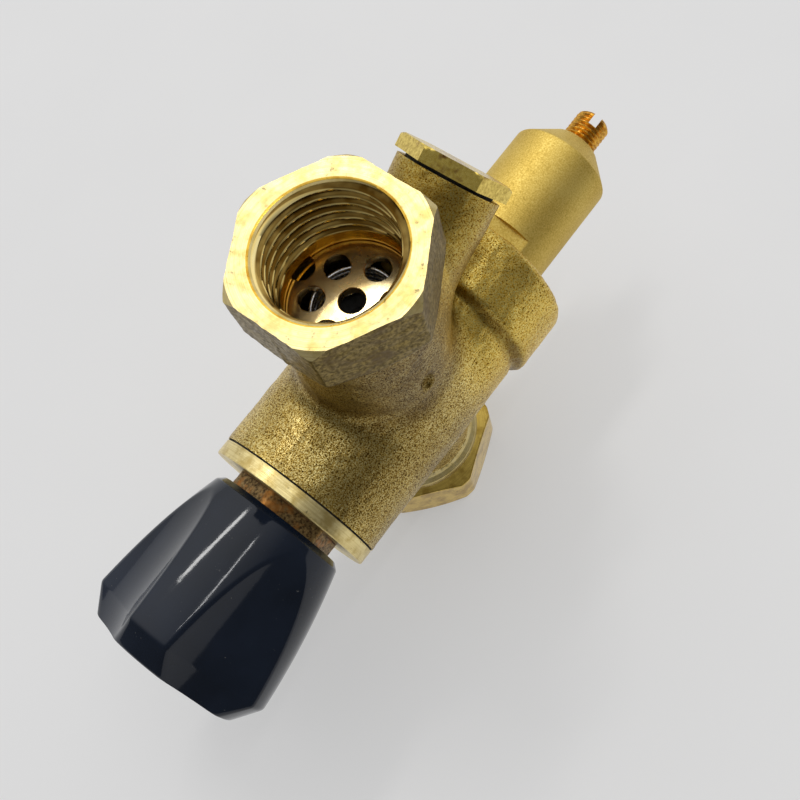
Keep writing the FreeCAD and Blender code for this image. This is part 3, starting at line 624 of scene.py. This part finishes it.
CAST = cast_brass()
PORT_CUT = machined_brass(
    "port_cut_brass", around_port, (0.76, 0.63, 0.31), (0.60, 0.46, 0.16), 0.40, 0.05
)
THREAD_CUT = thread_brass()
BARREL_CUT = machined_brass(
    "barrel_cut_brass", along_barrel, (0.93, 0.78, 0.38), (0.60, 0.45, 0.16), 0.34, 0.06
)
NUT_CUT = machined_brass(
    "nut_brass", around_port, (0.82, 0.58, 0.13), (0.46, 0.29, 0.05), 0.17, 0.015
)
AMBER = machined_brass("amber_brass", around_port, (0.95, 0.62, 0.10), (0.62, 0.34, 0.04), 0.22)
SATIN = satin_brass()
RUSTY = stained_brass("rusty_brass", (0.075, 0.045, 0.02), (0.36, 0.24, 0.10), (0.46, 0.20, 0.05))
OLIVE = stained_brass(
    "olive_brass", (0.58, 0.42, 0.08), (0.92, 0.70, 0.17), (0.24, 0.10, 0.03), 0.24, 0.10
)
FLATS = stained_brass(
    "ground_flats", (0.10, 0.068, 0.015), (0.28, 0.20, 0.055), (0.13, 0.085, 0.025), 0.38
)
# near-black painted shade for the thin groove behind the end band
GROOVE_SHADE_PAINT = soft_matter("groove_shade", (0.012, 0.009, 0.005), (0.045, 0.032, 0.016), 0.7)
COPPER = copper_screw()
PLATE = polished_plate()
STEEL = bright_steel()
KNOB = knob_plastic()
RUBBER = soft_matter("black_rubber", (0.003, 0.003, 0.003), (0.009, 0.009, 0.009), 0.8)
FIBRE = soft_matter("red_fibre", (0.16, 0.04, 0.02), (0.36, 0.12, 0.06), 0.7)
GREY = soft_matter("grey_plastic", (0.035, 0.032, 0.030), (0.075, 0.070, 0.068), 0.45)

SLOT_MATERIALS = {
    "cast_brass": CAST,
    "turned_brass": SATIN,
    "bonnet_brass": RUSTY,
    "plug_brass": OLIVE,
    "nut_brass": NUT_CUT,
    "copper_screw": COPPER,
    "plate_metal": PLATE,
    "steel": STEEL,
    "knob_plastic": KNOB,
    "grey_plastic": GREY,
    "black_rubber": RUBBER,
    "fibre": FIBRE,
}


# ---------------------------------------------------------------- the casting

CASTING_MATERIALS = [CAST, PORT_CUT, AMBER, BARREL_CUT, GROOVE_SHADE_PAINT, FLATS, THREAD_CUT]
RAW, FACED, AMBER_TONED, TURNED, SHADED_GROOVE, GROUND, THREADED = range(len(CASTING_MATERIALS))

BARREL_RADIUS = 14.5
NECK_RADIUS = 12.0
BRANCH_RADIUS = 8.2
BOSS_RADIUS = 10.65
# the port's hexagon: its width across the flats, and the height at which they start
PORT_FLATS = 26.0
FLATS_LOW = 65.5
# the spacing of the distance field that the skin is made from
VOXEL = 0.33
# a small flaw in the front of the neck
PIT = np.array([-1.0, -12.2, 50.9])


def outline_distance(station, radius, outline):
    """Signed distance to an outline that starts and ends on the line, negative inside."""
    points = profile(outline, False, 1000.0)
    nearest = np.full(station.shape, 1e9)
    inside = np.zeros(station.shape, bool)
    for (s0, r0), (s1, r1) in zip(points[:-1], points[1:]):
        run, rise = s1 - s0, r1 - r0
        share = ((station - s0) * run + (radius - r0) * rise) / (run * run + rise * rise)
        share = np.clip(share, 0, 1)
        gap = (station - s0 - share * run) ** 2 + (radius - r0 - share * rise) ** 2
        nearest = np.minimum(nearest, gap)
        if abs(run) > 1e-9:
            crosses = (s0 <= station) != (s1 <= station)
            above = r0 + (station - s0) * rise / run > radius
            inside ^= crosses & above
    return np.where(inside, -1, 1) * np.sqrt(nearest)


def port_flats(out, turn):
    """Distance from the flats of the port's hexagon."""
    return out * np.cos((turn + math.pi / 6) % (math.pi / 3) - math.pi / 6) - PORT_FLATS / 2


def rod_distance(line, points, radius, low, high):
    station, out, _ = line.read(points)
    return np.maximum(out - radius, np.maximum(low - station, station - high))


def casting_distance(points):
    """Signed distance to the raw casting, whose branches run into each other in fillets."""
    station, out, _ = BARREL.read(points)
    barrel = outline_distance(station, out, [
        (BAND_FACE - 1.5, 0),
        (BAND_FACE - 1.5, BARREL_RADIUS),
        (12.6, BARREL_RADIUS, 2.0),
        (14.0, BARREL_RADIUS - 0.35, 0.9),
        (15.4, FLANGE_RADIUS, 0.9),
        (25.4, FLANGE_RADIUS, 1.6),
        (26.5, 12.8, 2.5),
        (FLANGE_END + 1.0, 8.0),
        (FLANGE_END + 1.0, 0),
    ])
    neck = rod_distance(PORT, points, NECK_RADIUS, AXIS_HEIGHT, 70)
    height, out, turn = PORT.read(points)
    flats = port_flats(out, turn)
    under = (out - NECK_RADIUS - (height - 64.9) * 1.25) * 0.62
    head = soft_max(soft_max(flats, out - 15.0, 0.25), under, 0.3)
    head = np.maximum(head, height - PORT_TOP - 1)
    branch = rod_distance(BRANCH, points, BRANCH_RADIUS, 0, BRANCH_LENGTH + 1)
    boss = rod_distance(PORT, points, BOSS_RADIUS, BOSS_END - 1, AXIS_HEIGHT)
    collar = rod_distance(PORT, points, 12.3, BOSS_END - 1, BOSS_END + 2.9)
    whole = soft_min(barrel, neck, 4.0)
    whole = soft_min(whole, boss, 4.0)
    whole = soft_min(whole, branch, 4.0)
    whole = soft_min(whole, head, 0.7)
    seam = 0.10 * np.exp(-(points[..., 1] / 0.4) ** 2)
    pit = np.sqrt((((points - PIT) / (1.3, 1.3, 2.1)) ** 2).sum(-1))
    whole = soft_max(whole - seam, 1.2 * (1 - pit), 0.25)
    return np.minimum(whole, collar)


def raw_casting():
    """The casting's skin as quads, from its distance field."""
    low = np.array([BAND_FACE - 3, -FLANGE_RADIUS - 1.5, BOSS_END - 2.5])
    high = np.array([FLANGE_END + 2.5, FLANGE_RADIUS + 1.5, PORT_TOP + 2.5])
    axes = [np.arange(a, b, VOXEL) for a, b in zip(low, high)]
    grid = np.stack(np.meshgrid(*axes, indexing="ij"), axis=-1)
    field = openvdb.FloatGrid(3.0)
    field.copyFromArray(np.clip(casting_distance(grid), -3, 3).astype(np.float32))
    spots, quads = field.convertToQuads(0.0)
    vertices = spots * VOXEL + low
    nudge = 0.05
    for _ in range(2):
        here = casting_distance(vertices)
        slope = np.stack([
            casting_distance(vertices + nudge * unit) - here for unit in np.eye(3)
        ], axis=-1) / nudge
        vertices = vertices - (here / (slope ** 2).sum(-1))[:, None] * slope
    return vertices, quads.tolist()


def near_cuts(vertices):
    """Skin that machining takes away, which needs no roughness."""
    return (vertices[:, 0] < BAND_FACE) | (vertices[:, 2] < BOSS_END + 3)


# the outlet's thread: its largest radius, its depth and the height at which it starts
THREAD_MAJOR = 10.48
THREAD_DEPTH = 1.16
THREAD_LOW = 64.5
# the guide plate lies just above this height, and the bore below it is painted dark as shade
PLATE_SEAT = 60.9


def port_thread(station, radius, angle):
    """The outlet's thread, run out at the undercut and countersunk at the mouth."""
    turned = (angle - THREAD_START) / (2 * math.pi)
    height = ridge((station - PORT_TOP + THREAD_LEAD) / THREAD_PITCH - turned)
    fade = np.clip((station - THREAD_LOW) / 0.9, 0, 1)
    threaded = THREAD_MAJOR - THREAD_DEPTH * height * fade
    mouth = 10.8 - (PORT_TOP - station) * 1.9
    wall = (station > THREAD_LOW) & (station < PORT_TOP + 0.01) & (radius < THREAD_MAJOR + 0.35)
    return np.where(wall, np.maximum(threaded, mouth), radius)


def faced(centres):
    return np.full(len(centres), FACED)


def port_paint(centres):
    """Bright face, glossy thread, amber undercut and rim, and painted shade in the bore below the
    plate.
    """
    height, out, _ = PORT.read(centres)
    wall = out < THREAD_MAJOR + 0.2
    mouth = (height > PORT_TOP - 0.3) & (height < PORT_TOP)
    paint = np.where(wall & (height < PORT_TOP - 0.3), THREADED, FACED)
    # amber colour on the undercut and on the mouth's rim
    paint[wall & (height < THREAD_LOW + 0.3)] = AMBER_TONED
    paint[mouth & (out > THREAD_MAJOR) & (out < 11.0)] = AMBER_TONED
    # painted shade: the bore below the plate takes the flats' dark material
    paint[height < PLATE_SEAT] = GROUND
    return paint


def port_tool():
    """What is cut from the port: bore, undercut, thread, face and the hexagon's corners."""
    outline = [
        (44.0, 0), (44.0, 6.0), (47.0, 6.0), (47.0, 9.05), (59.0, 9.05), (59.3, 9.42),
        (61.0, 9.42), (61.0, 9.55), (63.2, 9.55, 0.3), (THREAD_LOW, THREAD_MAJOR, 0.2),
        (PORT_TOP, THREAD_MAJOR), (PORT_TOP, 13.9), (75.0, 15.6), (75.0, 18.0), (79.0, 18.0),
        (79.0, 0),
    ]
    geometry = lathe(PORT, outline, port_thread, columns=288, step=0.16)
    return build("port_tool", geometry, CASTING_MATERIALS, port_paint)


def barrel_paint(centres):
    """Turned brass everywhere except painted shade in the thin groove behind the end band."""
    _, out, _ = BARREL.read(centres)
    groove = (centres[:, 0] > -24.01) & (centres[:, 0] < -23.6) & (out < 14.41) & (out > 13.8)
    return np.where(groove, SHADED_GROOVE, TURNED)


def barrel_tool():
    outline = [
        (-32, 0), (-32, 18), (-23.7, 18), (-23.7, 14.35), (-23.75, 14.1), (-23.95, 14.1),
        (-24.0, 14.42), (BAND_FACE + 0.15, 14.42), (BAND_FACE, 14.3), (BAND_FACE, 9.45),
        (-25.9, 9.45), (-25.9, 8.45), (-17, 8.45), (-17, 8.0), (-4, 8.0), (-4, 6.5), (3, 6.5),
        (3, 5.85), (4, 5.85), (4, 8.0), (11, 8.0), (11, 8.65), (FLANGE_END, 8.65),
        (FLANGE_END, 18), (30, 18), (30, 0),
    ]
    return build("barrel_tool", lathe(BARREL, outline, step=50), CASTING_MATERIALS, barrel_paint)


def branch_tool():
    outline = [
        (6, 0), (6, 3), (15.5, 3), (15.5, 6.6), (BRANCH_LENGTH, 6.6), (BRANCH_LENGTH, 12),
        (BRANCH_LENGTH + 4, 12), (BRANCH_LENGTH + 4, 0),
    ]
    return build("branch_tool", lathe(BRANCH, outline, step=50), CASTING_MATERIALS, faced)


def boss_tool():
    outline = [
        (BOSS_END - 3, 0), (BOSS_END - 3, 16), (BOSS_END + 3.3, 16), (BOSS_END + 3.3, 10.55),
        (BOSS_END + 2.3, 11.1, 0.3), (BOSS_END + 1.6, 11.85, 0.4), (BOSS_END, 11.85, 0.2),
        (BOSS_END, 8.7), (19.5, 8.7), (19.5, 7.4), (21.5, 7.4), (21.5, 0),
    ]
    return build("boss_tool", lathe(PORT, outline, step=50), CASTING_MATERIALS, faced)


def passage_tool(name, station, low, high):
    """An upright hole between the barrel and a port."""
    upright = Line((station, 0, 0), (0, 0, 1), (1, 0, 0))
    outline = [(low, 0), (low, 3.3), (high, 3.3), (high, 0)]
    return build(name, lathe(upright, outline, columns=48, step=50), CASTING_MATERIALS, faced)


def skin_paint(centres):
    """Ground flats on the port's hexagon, raw casting elsewhere."""
    height, out, turn = PORT.read(centres)
    ground = (np.abs(port_flats(out, turn)) < 0.28) & (height > FLATS_LOW)
    return np.where(ground, GROUND, RAW)


def painted_shade(vertices):
    """How much painted shade darkens the skin.

    It lies in the groove before the flange, on the neck, at its foot and in the flaw, on the
    front (-Y) side of the left half, and at the branch's end.
    """
    station, out, _ = BARREL.read(vertices)
    groove = np.exp(-((station - 14.5) / 1.05) ** 2) * np.clip(16.4 - out, 0, 1)
    neck = np.clip((vertices[:, 2] - 44) / 5, 0, 1) * np.clip(1 - vertices[:, 0] / 30, 0, 1)
    _, beside, _ = PORT.read(vertices)
    foot = np.exp(-((vertices[:, 2] - 46) / 3.0) ** 2) * np.exp(-((beside - 12.8) / 1.4) ** 2)
    pit = 1.8 * np.exp(-(((vertices - PIT) / (1.6, 1.8, 2.6)) ** 2).sum(-1))
    # painted shade on the front (-Y) side, which faces away from the light
    shade = 0.42 * np.clip((-vertices[:, 1] - 3) / 8, 0, 1) * np.clip(1 - (station + 2) / 8, 0.1, 1)
    reach, beside_branch, _ = BRANCH.read(vertices)
    shade += 0.4 * np.clip((reach - 11) / 4, 0, 1) * (beside_branch < BRANCH_RADIUS + 0.5)
    shade_level = np.maximum.reduce([1.1 * groove, 0.56 * neck + shade, 0.75 * foot + shade, pit])
    return np.clip(shade_level, 0, 1)


def valve_body():
    skin = roughen(raw_casting(), 3.2, 0.10, 5.0, near_cuts)
    skin = roughen(skin, 0.9, 0.06, 11.0, near_cuts)
    casting = build("body_casting", skin, CASTING_MATERIALS, skin_paint)
    # painted shade, kept per vertex for the skin's material
    shade_level = casting.data.attributes.new("painted_shade", "FLOAT", "POINT")
    shade_level.data.foreach_set("value", painted_shade(skin[0]))
    carve(
        casting,
        port_tool(),
        barrel_tool(),
        branch_tool(),
        boss_tool(),
        passage_tool("outlet_passage", 5.8, AXIS_HEIGHT + 3.3, 44.4),
        passage_tool("inlet_passage", -7.6, 21.1, AXIS_HEIGHT - 3.3),
        sharp=38,
    )
    stand(casting, "body", "valve_body")


# ---------------------------------------------------------------- knob and bonnet

FLUTE_RADIUS = 28.0
KNOB_TURN = math.radians(4)


def knob_lobes(station, radius, angle):
    """Four lobes, a quarter turn apart, left by four wide flutes between them."""
    off = (angle - KNOB_TURN) % (math.pi / 2) - math.pi / 4
    middle = FLUTE_RADIUS + np.interp(station, (-57.2, -53.0, -32.0), (11.3, 12.3, 12.5))
    reach = np.clip(FLUTE_RADIUS ** 2 - (middle * np.sin(off)) ** 2, 0, None)
    flute = middle * np.cos(off) - np.sqrt(reach)
    blend = np.interp(station, (-50.0, -33.0), (0.7, 0.10))
    return np.where(radius > 10.5, soft_min(radius, flute, blend), radius)


def knob():
    front, end = KNOB_HIGH[0], KNOB_LOW[0]
    rim, shoulder = (-53.0, 16.1), (-29.7, 12.0)
    outline = [
        (end, 5.0, 0.25),
        (end, 13.1, 0.7),
        (*rim, 1.2),
        *arc(rim, shoulder, 125.0, 14),
        (*shoulder, 0.7),
        (front, 10.95, 0.35),
        (front, 10.35, 0.2),
        (-38.0, 10.35),
        (-38.0, 3.25),
        (-50.0, 3.25),
        (-50.0, 1.6),
        (-51.5, 1.6),
        (-51.5, 5.0),
    ]
    geometry = lathe(BARREL, outline, knob_lobes, columns=480, step=0.5, closed=True)
    stand(build("knob_grip", geometry, [KNOB]), "knob_and_spindle", "knob")


def knob_cap():
    face, back = CAP_LOW[0], CAP_HIGH[0]
    outline = [
        (face, 0), (face, 3.4, 0.4), (face + 0.25, 3.8, 0.3), (face, 4.2, 0.3),
        (face, 4.93, 0.3), (back, 4.93), (back, 4.0), (face + 1.2, 4.0), (face + 1.2, 0),
    ]
    piece = build("knob_cap_disc", lathe(BARREL, outline, columns=96, step=0.5), [KNOB])
    stand(piece, "knob_and_spindle", "knob_cap")


def bonnet():
    front, back = BONNET_LOW[0], BAND_FACE
    flats = 17.0

    def hexed(station, radius, angle):
        cut = soft_min(radius, hexagon(angle, flats, math.radians(30)), 0.35)
        return np.where((radius > 8.45) & (station <= back), cut, radius)

    outline = [
        (front, 4.1), (front, 8.6, 0.2), (front + 1.1, 9.65, 0.3), (back - 0.02, 9.65),
        (back, 8.4), (BONNET_HIGH[0], 8.4), (BONNET_HIGH[0], 5.0), (-25.8, 5.0), (-25.8, 4.1),
    ]
    geometry = lathe(BARREL, outline, hexed, columns=240, step=0.35, closed=True)
    geometry = roughen(geometry, 0.8, 0.06, 3.0, lambda v: v[:, 0] > back - 0.1)
    stand(build("bonnet_hexagon", geometry, [RUSTY]), "body", "bonnet")


# ---------------------------------------------------------------- spring housing and screw

def spring_housing():
    radius, base = 9.05, FLANGE_END
    flats_end = 30.4

    def flatted(station, out, angle):
        flats = 8.25 / np.clip(np.abs(np.cos(angle - TOOL_TURN)), 0.1, 1)
        band = (station > base - 0.01) & (station < flats_end) & (out > 8.7)
        return np.where(band, soft_min(out, flats, 0.06), out)

    outline = [
        (HOUSING_LOW[0], 7.6), (HOUSING_LOW[0], 8.6), (base - 0.02, 8.6), (base, radius),
        (flats_end - 0.02, radius), (flats_end + 0.02, radius), (47.7, radius, 0.5),
        (HOUSING_HIGH[0], 4.6, 0.25), (HOUSING_HIGH[0], 3.25), (46.0, 3.25), (46.0, 6.4),
        (21.0, 6.4), (21.0, 7.6),
    ]
    geometry = lathe(BARREL, outline, flatted, columns=240, step=0.8, closed=True)
    piece = build("housing_shell", geometry, [SATIN])
    stand(piece, "body", "spring_housing")


def adjusting_screw():
    radius, pitch, depth = 3.15, 0.8, 0.42
    foot, tip = SCREW_LOW[0], SCREW_HIGH[0]

    def threaded(station, out, angle):
        height = ridge(station / pitch - angle / (2 * math.pi))
        run_in = np.clip((station - foot - 1.4) / 1.0, 0, 1)
        run_out = np.clip((tip - 0.25 - station) / 0.5, 0, 1)
        cut = radius - depth * (1 - height) * (run_in * run_out)
        return np.where(out > 2.5, np.minimum(out, cut), out)

    outline = [
        (foot, 0), (foot, 2.4), (foot + 0.9, 2.4), (foot + 1.4, radius), (tip - 0.5, radius, 0.2),
        (tip, radius - 0.45, 0.15), (tip, 0),
    ]
    geometry = lathe(BARREL, outline, threaded, columns=144, step=0.09)
    screw = build("screw_thread", geometry, [COPPER])
    slot_width, slot_depth = 1.5, 2.3
    out = np.array([0, -math.sin(TOOL_TURN), math.cos(TOOL_TURN)])
    side = np.cross((1, 0, 0), out)
    middle = np.array([tip - slot_depth, 0, AXIS_HEIGHT])
    corners = [
        middle + along * np.array([1, 0, 0]) + across * side * slot_width / 2 + reach * out * 4
        for along in (0, slot_depth + 1) for across in (-1, 1) for reach in (-1, 1)
    ]
    sides = [(2, 3, 1, 0), (5, 7, 6, 4), (1, 5, 4, 0), (6, 7, 3, 2), (4, 6, 2, 0), (3, 7, 5, 1)]
    slot = build("slot_tool", (np.array(corners), sides), [COPPER])
    carve(screw, slot, sharp=40)
    stand(screw, "adjusting_screw", "adjusting_screw")


# ---------------------------------------------------------------- side plug

def side_plug():
    base, top = BRANCH_LENGTH + 0.5, BRANCH_LENGTH + 2.8
    flats = 15.5

    def hexed(station, radius, angle):
        crown = 8.35 + (top - station) * 1.75
        head = np.minimum(hexagon(angle, flats, TOOL_TURN), crown)
        return np.where((radius > 7.0) & (station >= base), np.minimum(radius, head), radius)

    outline = [
        (16.5, 0), (16.5, 6.1), (16.9, 6.5), (base - 0.02, 6.5), (base, 7.4), (base, 8.95, 0.1),
        (top, 8.95), (top, 7.2), (top, 0),
    ]
    geometry = lathe(BRANCH, outline, hexed, columns=240, step=0.2, first=TOOL_TURN)
    geometry = roughen(geometry, 2.5, 0.03, 8.0)
    stand(build("plug_head", geometry, [OLIVE]), "body", "side_plug")


def side_plug_gasket():
    low, high = BRANCH_LENGTH, BRANCH_LENGTH + 0.5
    outline = [(low, 6.6), (low, 7.0, 0.15), (high, 7.0, 0.15), (high, 6.6)]
    geometry = lathe(BRANCH, outline, columns=120, step=0.3, closed=True)
    piece = build("plug_ring", geometry, [RUBBER])
    stand(piece, "body", "side_plug_gasket")


# ---------------------------------------------------------------- union nut

def union_nut():
    top = NUT_TOP
    flats, corner, bore = 25.4, 14.1, 10.48
    clock = math.radians(-10)

    def hexed(station, radius, angle):
        height = ridge(station / THREAD_PITCH - angle / (2 * math.pi))
        threaded = bore - 1.1 * height * np.clip((4.2 - station) / 0.6, 0, 1)
        mouth = 10.9 - station * 0.9
        wall = (station < 4.38) & (radius < bore + 0.3)
        outside = soft_min(radius, hexagon(angle, flats, clock), 0.15)
        return np.where(wall, np.maximum(threaded, mouth), outside)

    outline = [
        (0, bore), (0, 12.8, 0.3), (1.2, corner, 0.2), (top - 1.35, corner, 0.2),
        (top, 11.6, 0.3), (top, 7.4, 0.2), (7.4, 7.4), (7.4, 10.75), (4.4, 10.75), (4.4, bore),
    ]
    geometry = lathe(
        PORT, outline, hexed, columns=300, step=0.16, closed=True, first=clock + math.pi / 6
    )
    stand(build("nut_hexagon", geometry, [NUT_CUT]), "union_nut", "union_nut")


# ---------------------------------------------------------------- check valve in the outlet

def guide_plate():
    low, top = PLATE_LOW[2], PLATE_HIGH[2]
    edge, hole, circle, notch_at, rim = 9.5, 1.97, 5.89, 9.4, 0.11
    disc = lathe(PORT, [(low, 0), (low, edge, 0.1), (top, edge, 0.12), (top, 0)])
    plate = build("plate_disc", disc, [PLATE])
    spots = [(0.0, 0.0)]
    spots += [
        (circle * math.cos(math.radians(turn)), circle * math.sin(math.radians(turn)))
        for turn in range(0, 360, 60)
    ]
    spots += [(0.0, notch_at), (0.0, -notch_at)]
    tools = []
    for number, (x, y) in enumerate(spots):
        upright = Line((x, y, 0), (0, 0, 1), (1, 0, 0))
        outline = [
            (low - 1, 0), (low - 1, hole), (top - rim, hole), (top, hole + rim),
            (top + 1, hole + rim), (top + 1, 0),
        ]
        geometry = lathe(upright, outline, columns=64, step=50)
        tools.append(build(f"plate_tool_{number}", geometry, [PLATE]))
    carve(plate, *tools, sharp=30)
    stand(plate, "body", "guide_plate")


def stretch(name, line, geometry, low, high, lower_body, upper_body, node):
    """A coil, or part of one, built in place of its CAD node, with its transform baked into the
    mesh.
    """
    piece = build(name, geometry, [STEEL])
    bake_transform(piece)
    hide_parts(node)


def springs():
    low, high = POPPET_TOP - 3.35, PLATE_LOW[2] - 0.05
    check = coil(PORT, low, high, mean=6.45, wire=0.36, turns=6.5)
    stretch("check_coil", PORT, check, low, high, "check_poppet", "body", "check_spring")
    # both ends of the relief spring move; the coil is built in two parts, split at the middle
    low, high, middle = 17.05, 40.95, 26.5
    vertices, faces = coil(BARREL, low, high, mean=4.9, wire=0.72, turns=8.5)
    sides = len(faces[-1])
    grid = vertices.reshape(-1, sides, 3)
    split = int(np.argmax(grid[:, :, 0].mean(1) > middle))
    for name, part, ends, bodies in (
        ("relief_coil_front", grid[:split + 1], (low, middle), ("relief_piston", "body")),
        ("relief_coil_back", grid[split:], (middle, high), ("body", "spring_button")),
    ):
        geometry = part.reshape(-1, 3), tube_faces(len(part), sides)
        stretch(name, BARREL, geometry, *ends, *bodies, "relief_spring")


# ---------------------------------------------------------------- what stays from the CAD

def repaint():
    """Give every CAD node the procedural material of its slot."""
    slots = {row["node"]: row["material_slot"] for row in frame["record"]["subparts"]}
    for node, thing in frame["nodes"].items():
        for socket in thing.material_slots:
            socket.link = "OBJECT"
            socket.material = SLOT_MATERIALS[slots[node]]


# ---------------------------------------------------------------- floor, light and camera

def floor():
    paint = Paint("floor_paper")
    tone = paint.ramp(paint.noise(2.5, 3.0), (0.3, (0.42, 0.42, 0.423)), (0.7, (0.45, 0.45, 0.452)))
    # the floor glows a little: painted light that lifts the shadows on it
    paint.shader.inputs["Emission Color"].default_value = (1, 1, 1, 1)
    paint.shader.inputs["Emission Strength"].default_value = 0.37
    paint.bump((paint.noise(900, 3.0), 0.05, 0.05))
    material = paint.finish(tone, paint.ramp(paint.noise(40, 2.0), (0.3, 0.75), (0.7, 0.65)))
    half = 8.0 / MM
    corners = np.array([(x, y, -0.05) for x, y in (
        (-half, -half), (half, -half), (half, half), (-half, half)
    )])
    sheet = build("floor", (corners, [(0, 1, 2, 3)]), [material])


def area_light(name, towards, distance, length, width, power, colour=(1, 1, 1)):
    """A rectangular lamp in a direction from the valve, facing it, laid along the barrel."""
    lamp = bpy.data.lights.new(name, "AREA")
    lamp.shape = "RECTANGLE"
    lamp.size, lamp.size_y = length, width
    lamp.energy = power
    lamp.color = colour
    thing = bpy.data.objects.new(name, lamp)
    away = Vector(towards).normalized()
    side = away.cross(Vector((1, 0, 0))).normalized()
    thing.location = Vector((0, 0, AXIS_HEIGHT * MM)) + away * distance
    thing.rotation_mode = "QUATERNION"
    thing.rotation_quaternion = Matrix((side.cross(away), side, away)).transposed().to_quaternion()
    bpy.context.scene.collection.objects.link(thing)


def room():
    """A pale room, brighter towards the window side and overhead."""
    world = bpy.data.worlds.new("room")
    bpy.context.scene.world = world
    world.use_nodes = True
    tree = world.node_tree
    place = tree.nodes.new("ShaderNodeTexCoord")
    facing = tree.nodes.new("ShaderNodeVectorMath")
    facing.operation = "DOT_PRODUCT"
    facing.inputs[1].default_value = Vector((0.42, 0.50, 0.76)).normalized()
    ramp = tree.nodes.new("ShaderNodeValToRGB")
    tree.links.new(place.outputs["Generated"], facing.inputs[0])
    tree.links.new(facing.outputs["Value"], ramp.inputs["Fac"])
    tree.links.new(ramp.outputs["Color"], tree.nodes["Background"].inputs["Color"])
    levels = ((0.0, 0.17), (0.35, 0.28), (0.72, 0.88), (1.0, 1.45))
    elements = ramp.color_ramp.elements
    while len(elements) < len(levels):
        elements.new(0.5)
    for element, (position, level) in zip(elements, levels):
        element.position = position
        element.color = (level, level, level, 1)
    tree.nodes["Background"].inputs["Strength"].default_value = 0.88


def lights():
    area_light("window", (0.30, 0.44, 0.85), 1.0, 0.30, 0.07, 1.25, (1.0, 0.99, 0.97))
    area_light("tube", (0.24, -0.20, 0.95), 1.0, 0.40, 0.022, 0.45)


def camera():
    """The photograph's view: from above and in front, rolled, close with a short tele lens."""
    turn, rise, roll = math.radians(-28.37), math.radians(66.64), math.radians(-25.54)
    distance, focal = 175.4, 48.19
    back = Vector((
        math.sin(turn) * math.cos(rise), -math.cos(turn) * math.cos(rise), math.sin(rise)
    ))
    level = Vector((math.cos(turn), math.sin(turn), 0))
    right = level * math.cos(roll) + back.cross(level) * math.sin(roll)
    up = back.cross(right)
    lens = bpy.data.cameras.new("camera")
    lens.sensor_width = 36.0
    lens.lens = focal
    lens.clip_start, lens.clip_end = 0.01, 20.0
    thing = bpy.data.objects.new("camera", lens)
    aim = Vector((0, 0, AXIS_HEIGHT)) + right * 1.59 - up * 3.19
    thing.location = (aim + back * distance) * MM
    thing.rotation_mode = "QUATERNION"
    thing.rotation_quaternion = Matrix((right, up, back)).transposed().to_quaternion()
    bpy.context.scene.collection.objects.link(thing)
    bpy.context.scene.camera = thing


valve_body()
knob()
knob_cap()
bonnet()
spring_housing()
adjusting_screw()
side_plug()
side_plug_gasket()
union_nut()
guide_plate()
springs()
repaint()
floor()
room()
lights()
camera()
bpy.context.scene.view_settings.view_transform = "Standard"
